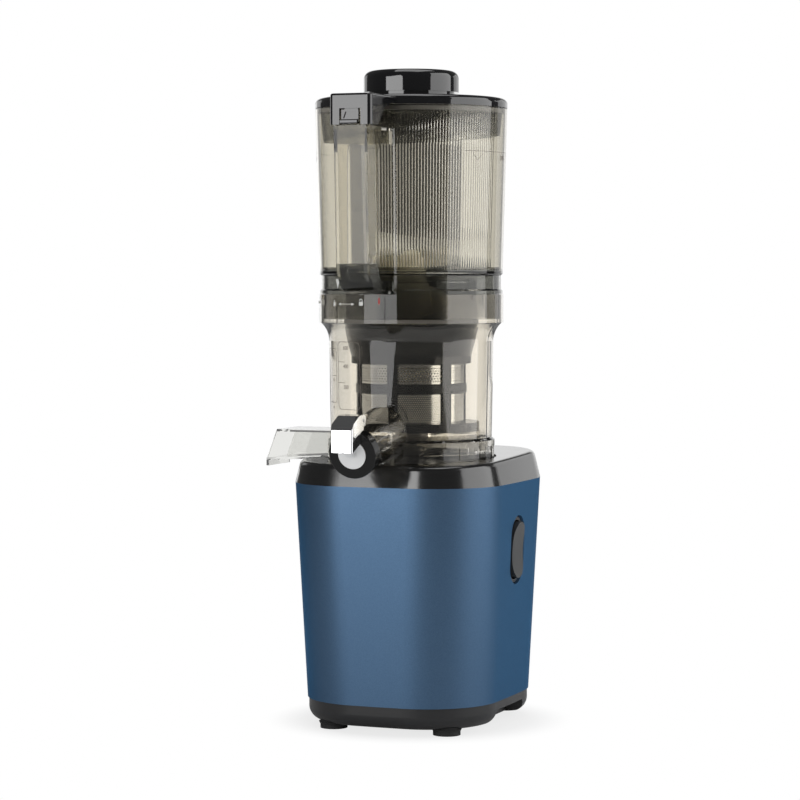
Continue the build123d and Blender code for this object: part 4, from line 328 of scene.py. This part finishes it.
# ---------------------------------------------------------------- making pieces
def piece(name, mesh, body, finish=None):
    """A finished piece at the origin, riding on its body."""
    made = bpy.data.objects.new(name, mesh)
    bpy.context.scene.collection.objects.link(made)
    if finish is not None:
        mesh.materials.clear()
        mesh.materials.append(finish)
    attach(made, body)
    return made


def evaluated(holder):
    """A mesh of an object with its modifiers carried out, or of its curve."""
    return bpy.data.meshes.new_from_object(holder.evaluated_get(bpy.context.evaluated_depsgraph_get()))


def grown(name, start, plan, **sizes):
    """Runs a geometry tree on a start mesh and returns the mesh that comes out."""
    tree = bpy.data.node_groups.new(name, "GeometryNodeTree")
    kit = Kit(tree)
    kinds = {float: "NodeSocketFloat", int: "NodeSocketInt",
             bpy.types.Material: "NodeSocketMaterial", bpy.types.Object: "NodeSocketObject"}
    tree.interface.new_socket("start", in_out="INPUT", socket_type="NodeSocketGeometry")
    tree.interface.new_socket("result", in_out="OUTPUT", socket_type="NodeSocketGeometry")
    sockets = {label: tree.interface.new_socket(label, in_out="INPUT", socket_type=kinds[type(value)])
               for label, value in sizes.items()}
    entry = tree.nodes.new("NodeGroupInput")
    given = {s.name: Flow(kit, s) for s in entry.outputs if s.name}
    whole = kit.node("GeometryNodeRealizeInstances", {}, {0: plan(kit, given)})
    whole = kit.node("GeometryNodeSetMaterial", {}, {"Geometry": whole, "Material": given["finish"]})
    leave = tree.nodes.new("NodeGroupOutput")
    tree.links.new(whole.socket, leave.inputs[0])
    carrier = bpy.data.objects.new(name + " carrier", start)
    bpy.context.scene.collection.objects.link(carrier)
    modifier = carrier.modifiers.new("plan", "NODES")
    modifier.node_group = tree
    for label, value in sizes.items():
        modifier[sockets[label].identifier] = value
    mesh = evaluated(carrier)
    bpy.data.objects.remove(carrier)
    return mesh


def lathed(name, outline, steps):
    """A closed wall section turned round the juicing axis.

    Each outline point is a radius, a height and the share of the flutes that it takes."""
    bm = bmesh.new()
    layer = bm.verts.layers.float.new("fluted")
    rings = []
    for radius, z, amount in outline:
        ring = []
        for i in range(steps):
            vertex = bm.verts.new(around(radius, 360 * i / steps, z))
            vertex[layer] = amount
            ring.append(vertex)
        rings.append(ring)
    for ring, above in zip(rings, rings[1:] + rings[:1]):
        for i in range(steps):
            j = (i + 1) % steps
            bm.faces.new((ring[i], ring[j], above[j], above[i]))
    return settled(bm, name)


def settled(bm, name, smooth=40):
    """A mesh with its faces outward, smooth but for edges sharper than an angle in degrees."""
    bmesh.ops.remove_doubles(bm, verts=bm.verts, dist=1e-7)
    bmesh.ops.recalc_face_normals(bm, faces=bm.faces)
    for face in bm.faces:
        face.smooth = True
    for edge in bm.edges:
        edge.smooth = edge.calc_face_angle(0.0) < math.radians(smooth)
    mesh = bpy.data.meshes.new(name)
    bm.to_mesh(mesh)
    bm.free()
    return mesh


# ---------------------------------------------------------------- hopper jar with its fine inner flutes
JAR_FOOT, JAR_RIM = 348.7, 471.1
JAR_FOOT_RADIUS, JAR_RIM_RADIUS, JAR_WALL = 70.0, 73.4, 2.2
FLUTES, FLUTE_DEPTH = 196, 0.55
FLUTES_FROM, FLUTES_TO = -93.0, -8.0       # bearings of the fluted part of the wall
FLUTE_LOW, FLUTE_HIGH = 352.0, 464.6
HINGE_Y, HINGE_Z = 79.0, 470.0             # the lid's hinge pin
EAR_RADIUS, EAR_DROP = 3.6, 16.0
EAR_ROOT = (462, 471)                      # heights whose wall radii the ears grow from
EAR_SPANS = ((-17.0, -8.4), (8.4, 17.0))   # left and right of the lid's knuckle


def jar_radius(z):
    """Outside of the jar's tapering wall."""
    return JAR_FOOT_RADIUS + (JAR_RIM_RADIUS - JAR_FOOT_RADIUS) * (z - JAR_FOOT) / (JAR_RIM - JAR_FOOT)


def jar_section():
    """Outline of the jar's wall: up the outside, over the rim and down the inside with its flutes."""
    outside = [(jar_radius(z), z, 0.0) for z in (JAR_FOOT + 0.3, JAR_FOOT + 2, 380, 410, 440, JAR_RIM - 2)]
    top = jar_radius(JAR_RIM)
    rim = [(top - 0.1, JAR_RIM - 0.3, 0.0), (top - 0.5, JAR_RIM, 0.0),
           (top - JAR_WALL + 0.5, JAR_RIM, 0.0), (top - JAR_WALL, JAR_RIM - 0.4, 0.0)]
    inside = [(jar_radius(z) - JAR_WALL, z, share) for z, share in
              ((FLUTE_HIGH + 0.5, 0.0), (FLUTE_HIGH, 1.0), (440, 1.0), (410, 1.0), (380, 1.0),
               (FLUTE_LOW, 1.0), (FLUTE_LOW - 1.0, 0.0), (JAR_FOOT, 0.0))]
    return outside + rim + inside + [(JAR_FOOT_RADIUS - 0.4, JAR_FOOT, 0.0)]


def flute_plan(kit, given):
    """Lifts the inner wall outwards in fine upright waves, within two bearings."""
    x, y, _ = kit.apart(kit.node("GeometryNodeInputPosition"))
    turn = (y - given["axis_y"]).calc("ARCTAN2", x - given["axis_x"])
    share = kit.node("GeometryNodeInputNamedAttribute", {"data_type": "FLOAT"}, {"Name": "fluted"})
    ridge = (turn * given["count"]).calc("COSINE").steps(0.1, 1.0)
    part = (turn > given["turn_from"]) * (turn < given["turn_to"])
    lift = ridge * given["depth"] * share * part
    shift = kit.node("ShaderNodeCombineXYZ", {}, {0: turn.calc("COSINE") * lift, 1: turn.calc("SINE") * lift})
    return kit.node("GeometryNodeSetPosition", {}, {"Geometry": given["start"], "Offset": shift})


def ear_outline(x):
    """Side view of an ear at x millimetres from the middle: up the jar's wall, down round the hinge pin."""
    wall, wall_top = (math.sqrt(jar_radius(z) ** 2 - x * x) + 0.02 for z in EAR_ROOT)
    outline = [(wall, HINGE_Z - EAR_DROP), (wall_top, JAR_RIM), (HINGE_Y, HINGE_Z + EAR_RADIUS - 0.01)]
    turns = [math.radians(a) for a in range(15, 150, 15)]
    return outline + [(HINGE_Y + EAR_RADIUS * math.sin(a), HINGE_Z + EAR_RADIUS * math.cos(a)) for a in turns]


def hinge_ears(bm):
    """The two ears at the back of the jar's rim, open for the lid's knuckle."""
    slices = 4
    for left, right in EAR_SPANS:
        rows = []
        for i in range(slices + 1):
            x = left + (right - left) * i / slices
            rows.append([bm.verts.new(place(x, y, z)) for y, z in ear_outline(x)])
        for row, beside in zip(rows, rows[1:]):
            for i in range(len(row)):
                j = (i + 1) % len(row)
                bm.faces.new((row[i], row[j], beside[j], beside[i]))
        bm.faces.new(rows[0])
        bm.faces.new(rows[-1])


def fluted_jar():
    """The jar with its flutes and hinge ears, in place of the plain sleeve."""
    wall = lathed("jar wall", jar_section(), FLUTES * 8)
    mesh = grown("jar flutes", wall, flute_plan, count=float(FLUTES), depth=FLUTE_DEPTH * MM,
                 turn_from=math.radians(FLUTES_FROM), turn_to=math.radians(FLUTES_TO),
                 axis_x=AXIS.x, axis_y=AXIS.y, finish=MATERIALS["smoke_clear"])
    bm = bmesh.new()
    bm.from_mesh(mesh)
    hinge_ears(bm)
    jar = piece("fluted_hopper_jar", settled(bm, "fluted hopper jar", 47), "hopper",
                MATERIALS["smoke_clear"])
    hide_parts("hopper_jar")


fluted_jar()


# ---------------------------------------------------------------- strainer sheets
SHEET_RADIUS, SHEET_THICKNESS = 40.0, 0.25
MARGIN_STEPS = 96


def holed_cell(width, height, hole):
    """A piece of sheet in millimetres, facing -Y, with an eight-sided hole."""
    bm = bmesh.new()
    corners = [(1, 0), (1, 1), (0, 1), (-1, 1), (-1, 0), (-1, -1), (0, -1), (1, -1)]
    rim = [bm.verts.new((x * width * MM / 2, 0, z * height * MM / 2)) for x, z in corners]
    turns = [i * math.pi / 4 for i in range(8)]
    edge = [bm.verts.new((hole * MM * math.cos(a), 0, hole * MM * math.sin(a))) for a in turns]
    for i in range(8):
        j = (i + 1) % 8
        bm.faces.new((rim[i], rim[j], edge[j], edge[i]))
    bm.normal_update()
    for face in bm.faces:
        if face.normal.y > 0:
            face.normal_flip()
    mesh = bpy.data.meshes.new("sheet cell")
    bm.to_mesh(mesh)
    bm.free()
    cell = bpy.data.objects.new("sheet cell", mesh)
    bpy.context.scene.collection.objects.link(cell)
    return cell


def sheet_plan(kit, given):
    """Rows of holed cells, every other row half a step on, wrapped round the axis and made thick."""
    grid = kit.node("GeometryNodeMeshGrid", {}, {"Size X": 1.0, "Size Y": 1.0,
                                                 "Vertices X": given["columns"], "Vertices Y": given["rows"]})
    index = kit.node("GeometryNodeInputIndex")
    column = (index / given["rows"]).calc("FLOOR")
    row = index - column * given["rows"]
    odd = row.calc("FLOORED_MODULO", 2.0)
    turn = (column + odd * 0.5) * (2 * math.pi) / given["columns"]
    spot = kit.node("ShaderNodeCombineXYZ", {}, {0: turn.calc("COSINE") * given["radius"] + given["axis_x"],
                                                1: turn.calc("SINE") * given["radius"] + given["axis_y"],
                                                2: given["foot"] + (row + 0.5) * given["pitch"]})
    points = kit.node("GeometryNodeSetPosition", {}, {"Geometry": grid, "Position": spot})
    cell = kit.node("GeometryNodeObjectInfo", {}, {"Object": given["cell"]}, "Geometry")
    facing = kit.node("ShaderNodeCombineXYZ", {}, {2: turn + math.pi / 2})
    cells = kit.node("GeometryNodeInstanceOnPoints", {},
                     {"Points": points, "Instance": cell, "Rotation": facing})
    cells = kit.node("GeometryNodeRealizeInstances", {}, {0: cells})
    sheet = kit.node("GeometryNodeMergeByDistance", {}, {"Geometry": cells, "Distance": 0.00003})
    back = kit.node("GeometryNodeFlipFaces", {}, {0: sheet})
    front = kit.node("GeometryNodeExtrudeMesh", {},
                     {"Mesh": sheet, "Offset Scale": given["thickness"], "Individual": False})
    joined = kit.tree.nodes.new("GeometryNodeJoinGeometry")
    for flow in (back, front, given["start"]):
        kit.tree.links.new(flow.socket, joined.inputs[0])
    whole = Flow(kit, joined.outputs[0])
    return kit.node("GeometryNodeMergeByDistance", {}, {"Geometry": whole, "Distance": 0.00001})


def plain_margins(name, bands):
    """Plain sleeves of sheet between pairs of heights, in one mesh."""
    outside = SHEET_RADIUS + SHEET_THICKNESS
    bm = bmesh.new()
    for z0, z1 in bands:
        section = [(outside, z0, 0.0), (outside, z1, 0.0), (SHEET_RADIUS, z1, 0.0), (SHEET_RADIUS, z0, 0.0)]
        bm.from_mesh(lathed(name, section, MARGIN_STEPS))
    mesh = bpy.data.meshes.new(name)
    bm.to_mesh(mesh)
    bm.free()
    return mesh


def perforated(name, node, low, high, pitch_round, pitch_up, hole):
    """A perforated sheet sleeve with plain margins up to where the frame holds it."""
    bottom, top = (v.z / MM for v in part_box(node))
    columns = round(2 * math.pi * SHEET_RADIUS / pitch_round)
    rows = round((high - low) / pitch_up)
    high = low + rows * pitch_up
    cell = holed_cell(2 * math.pi * SHEET_RADIUS / columns, pitch_up, hole)
    mesh = grown(name, plain_margins(name, ((bottom, low), (high, top))), sheet_plan,
                 columns=columns, rows=rows, pitch=pitch_up * MM, foot=low * MM,
                 radius=SHEET_RADIUS * MM, thickness=SHEET_THICKNESS * MM,
                 axis_x=AXIS.x, axis_y=AXIS.y, cell=cell, finish=MATERIALS["steel_mesh"])
    bpy.data.objects.remove(cell)
    sleeve = piece(name, mesh, "bowl")
    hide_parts(node)


perforated("fine_strainer_sheet", "strainer_mesh_lower", 233.6, 253.8, 1.6, 1.45, 0.40)
perforated("coarse_strainer_sheet", "strainer_mesh_upper", 263.6, 275.6, 2.4, 1.95, 0.62)


# ---------------------------------------------------------------- printed marks
INK_FOOT, INK_TOP = 0.03, 0.08             # how far the ink stands off its wall
LINE_WIDTH, FRAME_WIDTH, LOCK_WIDTH = 0.3, 0.32, 0.55
STROKE_STEP = 1.2


def bowl_radius(z):
    """Outside of the bowl's clear wall."""
    return 61.7 + 1.3 * (z - 221.0) / (294.6 - 221.0)


def collar_radius(z):
    """Outside of the bowl's upright collar."""
    return 70.5


def hopper_base_radius(z):
    """Outside of the hopper base, drawn in a little at its waist."""
    return 68.7 if 333.0 < z < 345.7 else 70.0


def laid_on(points, bearing, height, radius, lift):
    """Flat points in millimetres, right and up, laid on a round wall."""
    laid = []
    for right, up in points:
        z = height + up
        r = radius(z) + lift
        laid.append(around(r, bearing + math.degrees(right / r), z))
    return laid


def stroke(points, width, closed=False):
    """A drawn line of even width as a strip of quads, a little longer than its points to close corners."""
    quads = []
    for (x0, y0), (x1, y1) in zip(points, points[1:] + points[:1] if closed else points[1:]):
        length = math.hypot(x1 - x0, y1 - y0)
        if length < 1e-6:
            continue
        ux, uy = (x1 - x0) / length, (y1 - y0) / length
        px, py = -uy * width / 2, ux * width / 2
        x0, y0 = x0 - ux * width * 0.4, y0 - uy * width * 0.4
        x1, y1 = x1 + ux * width * 0.4, y1 + uy * width * 0.4
        count = max(1, int(length / STROKE_STEP))
        for i in range(count):
            a, b = i / count, (i + 1) / count
            ax, ay = x0 + (x1 - x0) * a, y0 + (y1 - y0) * a
            bx, by = x0 + (x1 - x0) * b, y0 + (y1 - y0) * b
            quads.append([(ax - px, ay - py), (bx - px, by - py), (bx + px, by + py), (ax + px, ay + py)])
    return quads


def rounded_frame(width, height, corner):
    """Points of a frame with rounded corners, counter-clockwise from the lower right."""
    centres = ((width - corner, corner, 270), (width - corner, height - corner, 0),
               (corner, height - corner, 90), (corner, corner, 180))
    points = []
    for cx, cy, start in centres:
        turns = [math.radians(start + a) for a in range(0, 91, 15)]
        points += [(cx + corner * math.cos(a), cy + corner * math.sin(a)) for a in turns]
    return points


def lettering(words, size, right, up):
    """Words as flat triangles round a middle point."""
    curve = bpy.data.curves.new("figures", "FONT")
    curve.body = words
    curve.size = size
    curve.align_x = "CENTER"
    curve.align_y = "CENTER"
    holder = bpy.data.objects.new("figures", curve)
    bpy.context.scene.collection.objects.link(holder)
    mesh = evaluated(holder)
    flat = [[tuple(mesh.vertices[v].co.xy) for v in face.vertices] for face in mesh.polygons]
    bpy.data.objects.remove(holder)
    return shifted(flat, right, up)


def shifted(shapes, right, up):
    """Flat shapes moved to the right and up."""
    return [[(x + right, y + up) for x, y in shape] for shape in shapes]


def mark(name, shapes, bearing, height, radius, body, ink):
    """Ink shapes on a round wall, each with a hair of thickness."""
    bm = bmesh.new()
    for shape in shapes:
        top = [bm.verts.new(p) for p in laid_on(shape, bearing, height, radius, INK_TOP)]
        base = [bm.verts.new(p) for p in laid_on(shape, bearing, height, radius, INK_FOOT)]
        count = len(shape)
        bm.faces.new(top)
        bm.faces.new(base[::-1])
        for i in range(count):
            j = (i + 1) % count
            bm.faces.new((base[i], base[j], top[j], top[i]))
    bmesh.ops.recalc_face_normals(bm, faces=bm.faces)
    mesh = bpy.data.meshes.new(name)
    bm.to_mesh(mesh)
    bm.free()
    piece(name, mesh, body, ink)


def graduations():
    """A frame with levels and figures in millilitres, and one in ounces round to the left."""
    shapes = stroke(rounded_frame(26.0, 51.0, 4.0), FRAME_WIDTH, True)
    shapes += lettering("600", 4.2, 10.6, 46.3)
    for up, words in ((35.8, "400"), (20.1, "200")):
        shapes += stroke([(0.0, up), (9.5, up)], LINE_WIDTH) + lettering(words, 4.2, 10.6, up - 3.4)
    mark("millilitre_scale", shapes, 229.8, 243.4, bowl_radius, "bowl", DARK_INK)
    shapes = stroke(rounded_frame(20.0, 41.0, 3.5), FRAME_WIDTH, True)
    shapes += lettering("20", 3.8, 14.0, 36.2)
    shapes += stroke([(12.0, 20.4), (20.0, 20.4)], LINE_WIDTH) + lettering("10", 3.8, 14.0, 17.2)
    shapes += lettering("oz", 3.4, 13.5, -3.4)
    mark("ounce_scale", shapes, 208.6, 248.0, bowl_radius, "bowl", DARK_INK)


def level_lines():
    """The filling line on the hopper with its pointer and figure, and once more round to the left."""
    shapes = stroke([(0.0, 0.0), (59.0, 0.0)], LINE_WIDTH)
    shapes += stroke([(7.4, -1.4), (12.6, -7.0), (17.8, -1.4)], LINE_WIDTH)
    shapes += lettering("2000", 5.0, 47.5, -4.4)
    mark("filling_line", shapes, 324.8, 437.2, jar_radius, "hopper", DARK_INK)
    shapes = stroke([(0.0, 0.0), (40.0, 0.0)], LINE_WIDTH) + lettering("2000", 5.0, 30.0, -4.4)
    mark("filling_line_left", shapes, 178.0, 437.2, jar_radius, "hopper", DARK_INK)


def padlock(open_by):
    """A small padlock: its body, and its shackle drawn up by so much."""
    body = [[(-1.7, -1.9), (1.7, -1.9), (1.7, 0.9), (-1.7, 0.9)]]
    turns = [math.radians(a) for a in range(0, 181, 20)]
    arc = [(1.1 * math.cos(a), 0.9 + 1.3 * math.sin(a) + open_by) for a in turns]
    far_leg = [(-1.1, 0.9)] if open_by == 0 else []
    return body + stroke([(1.1, 0.9)] + arc + far_leg, LOCK_WIDTH)


def lock_marks():
    """Locked and unlocked, with the arrow between them, a tick on the collar and the hopper's pointer."""
    arrow = [[(4.6, -0.3), (18.6, -0.3), (18.6, 0.3), (4.6, 0.3)],
             [(3.2, 0.0), (6.0, -1.1), (6.0, 1.1)],
             [(20.0, 0.0), (17.2, 1.1), (17.2, -1.1)]]
    shapes = padlock(0.0) + shifted(arrow, 1.5, -0.4) + shifted(padlock(0.7), 27.5, 0.5)
    mark("lock_marks", shapes, 237.0, 323.4, collar_radius, "bowl", PALE_INK)
    tick = [(-0.5, -3.0), (0.5, -3.0), (0.5, 1.6), (-0.5, 1.6)]
    mark("unlock_tick", [tick], 271.6, 326.0, collar_radius, "bowl", RED_INK)
    pointer = [(-2.6, 3.6), (0.0, -3.6), (2.6, 3.6)]
    mark("lock_pointer", [pointer], 238.0, 338.2, hopper_base_radius, "hopper", PALE_INK)


graduations()
level_lines()
lock_marks()


# ---------------------------------------------------------------- floor, studio and camera
CAMERA_BEARING = 291.5
BEARING = math.radians(CAMERA_BEARING)
RIGHTWARD = Vector((-math.sin(BEARING), math.cos(BEARING), 0))
FORWARD = Vector((-math.cos(BEARING), -math.sin(BEARING), 0))
WHITE = (1.0, 1.0, 1.0, 1.0)

FLOOR_REACH = 6.0
BASE_MIDDLE = 0.017                        # how far the base's middle lies behind the juicing axis
SHADOW_WHITE, SHADOW_INNER, SHADOW_OUTER = 0.78, 0.080, 0.122      # under the object, up to full white
AHEAD = (0.0, 0.25)                        # where the floor behind the object turns white to clear walls

AMBIENT, DIM_LEVEL = 0.20, 0.07
WHITE_ZONE = (15, 28)                      # degrees from straight ahead: white within, dim beyond
SIDE_ZONE, SIDE_LEVEL = (0.60, 0.75), 0.6          # paler zones far out to both sides
STRIP, STRIP_EDGE = (-0.0460, 0.0340), 0.0018      # an upright dark strip right behind the object

SOFTBOX_AWAY = 1.6                         # metres from the juicing axis
TOP_SIZE, TOP_LEVEL, TOP_AT = 1.1, 1.3, (0.0, 0.1, 1.9)

CAMERA_AT, CAMERA_TO = (775.2, -1967.9, 348.5), (-8.06, -3.18, 248.8)
CAMERA_LENS, CAMERA_SENSOR, CAMERA_CLIP = 124.1, 36.0, 30.0


def studio_floor():
    """Pale floor: it takes the shadow near the object and is plain white to the camera further out."""
    mesh = bpy.data.meshes.new("floor")
    corners = [(x * FLOOR_REACH, y * FLOOR_REACH, 0) for x, y in ((-1, -1), (1, -1), (1, 1), (-1, 1))]
    mesh.from_pydata(corners, [], [(0, 1, 2, 3)])
    floor = bpy.data.objects.new("floor", mesh)
    bpy.context.scene.collection.objects.link(floor)
    f = Finish("studio floor")
    across, along = f.x - AXIS.x, f.y - BASE_MIDDLE - AXIS.y
    away = (across * across + along * along) ** 0.5
    matt = f.kit.node("ShaderNodeBsdfDiffuse", {}, {0: f.patches((0.80, 0.80, 0.80), 0.01, 3.0)})
    glow = f.kit.node("ShaderNodeEmission", {}, {0: WHITE, 1: 1.0})
    camera_ray = f.kit.node("ShaderNodeLightPath")
    through = f.kit.other(camera_ray, "Is Transmission Ray")
    ahead = (across * FORWARD.x + along * FORWARD.y).steps(*AHEAD)
    seen = camera_ray.calc("MAXIMUM", through * ahead)
    white = SHADOW_WHITE + away.steps(SHADOW_INNER, SHADOW_OUTER) * (1.0 - SHADOW_WHITE)
    mesh.materials.append(f.done(f.kit.node("ShaderNodeMixShader", {}, {0: seen * white, 1: matt, 2: glow})))


def studio_world():
    """Plain grey light all round, and a white backdrop to the camera.

    Glossy and clear walls find white behind the object and dim elsewhere; through clear walls a dark
    strip stands in the middle of the white, and a paler zone out to each side."""
    world = bpy.data.worlds.new("studio")
    bpy.context.scene.world = world
    world.use_nodes = True
    world.node_tree.nodes.clear()
    kit = Kit(world.node_tree)
    towards = kit.node("ShaderNodeTexCoord", out="Generated")
    inner, outer = (math.cos(math.radians(a)) for a in WHITE_ZONE)
    behind = kit.dot(towards, FORWARD).steps(outer, inner)
    path = kit.node("ShaderNodeLightPath")
    camera_ray = kit.other(path, "Is Camera Ray")
    through, glossy = kit.other(path, "Is Transmission Ray"), kit.other(path, "Is Glossy Ray")
    sharp = through.calc("MAXIMUM", glossy)
    sideways = kit.dot(towards, RIGHTWARD)
    from_left, from_right = (sideways.steps(edge - STRIP_EDGE, edge + STRIP_EDGE) for edge in STRIP)
    strip = from_left * (1.0 - from_right) * through
    beside = sideways.calc("ABSOLUTE").steps(*SIDE_ZONE) * through * SIDE_LEVEL
    pattern = DIM_LEVEL + behind * (1.0 - DIM_LEVEL) * (1.0 - strip) + beside
    strength = AMBIENT + sharp * (pattern - AMBIENT)
    strength = strength + camera_ray * (1.0 - strength)
    light = kit.node("ShaderNodeBackground", {}, {0: WHITE, 1: strength})
    end = kit.tree.nodes.new("ShaderNodeOutputWorld")
    kit.tree.links.new(light.socket, end.inputs[0])


def lamp(name, width, height, level, seen_through=False):
    """A soft rectangular lamp, in metres, as bright as white times its level."""
    light = bpy.data.lights.new(name, "AREA")
    light.shape = "RECTANGLE"
    light.size, light.size_y = width, height
    light.energy = 4 * level * width * height
    holder = bpy.data.objects.new(name, light)
    holder.visible_camera = False
    holder.visible_transmission = seen_through
    bpy.context.scene.collection.objects.link(holder)
    return holder


def softbox(name, bearing, width, low, high, level, seen_through=False):
    """A lamp that faces the object. It isn't held upright, but rolls about its own axis with its bearing.

    Its bearing from the camera and its width are in degrees, low and high in metres."""
    across = 2 * SOFTBOX_AWAY * math.tan(math.radians(width / 2))
    holder = lamp(name, across, high - low, level, seen_through)
    turn = math.radians(CAMERA_BEARING + bearing)
    outward = Vector((SOFTBOX_AWAY * math.cos(turn), SOFTBOX_AWAY * math.sin(turn), 0))
    holder.location = AXIS + outward + Vector((0, 0, (low + high) / 2))
    holder.rotation_euler = (-outward).to_track_quat("-Z", "Z").to_euler()


def studio_camera():
    """The camera, with plain colours in its picture."""
    holder = bpy.data.objects.new("camera", bpy.data.cameras.new("camera"))
    bpy.context.scene.collection.objects.link(holder)
    holder.location = place(*CAMERA_AT)
    holder.rotation_euler = (place(*CAMERA_TO) - holder.location).to_track_quat("-Z", "Y").to_euler()
    holder.data.lens = CAMERA_LENS
    holder.data.sensor_width = CAMERA_SENSOR
    holder.data.clip_end = CAMERA_CLIP
    bpy.context.scene.camera = holder
    bpy.context.scene.view_settings.view_transform = "Standard"


studio_floor()
studio_world()
softbox("left softbox", -40, 40, 0.03, 0.84, 2.6)
softbox("right softbox", 80, 68, 0.05, 1.95, 1.4, seen_through=True)
softbox("right back softbox", 140, 30, 0.10, 1.00, 0.6)
softbox("left back softbox", -150, 16, 0.10, 1.00, 0.5)
lamp("top softbox", TOP_SIZE, TOP_SIZE, TOP_LEVEL).location = AXIS + Vector(TOP_AT)
studio_camera()
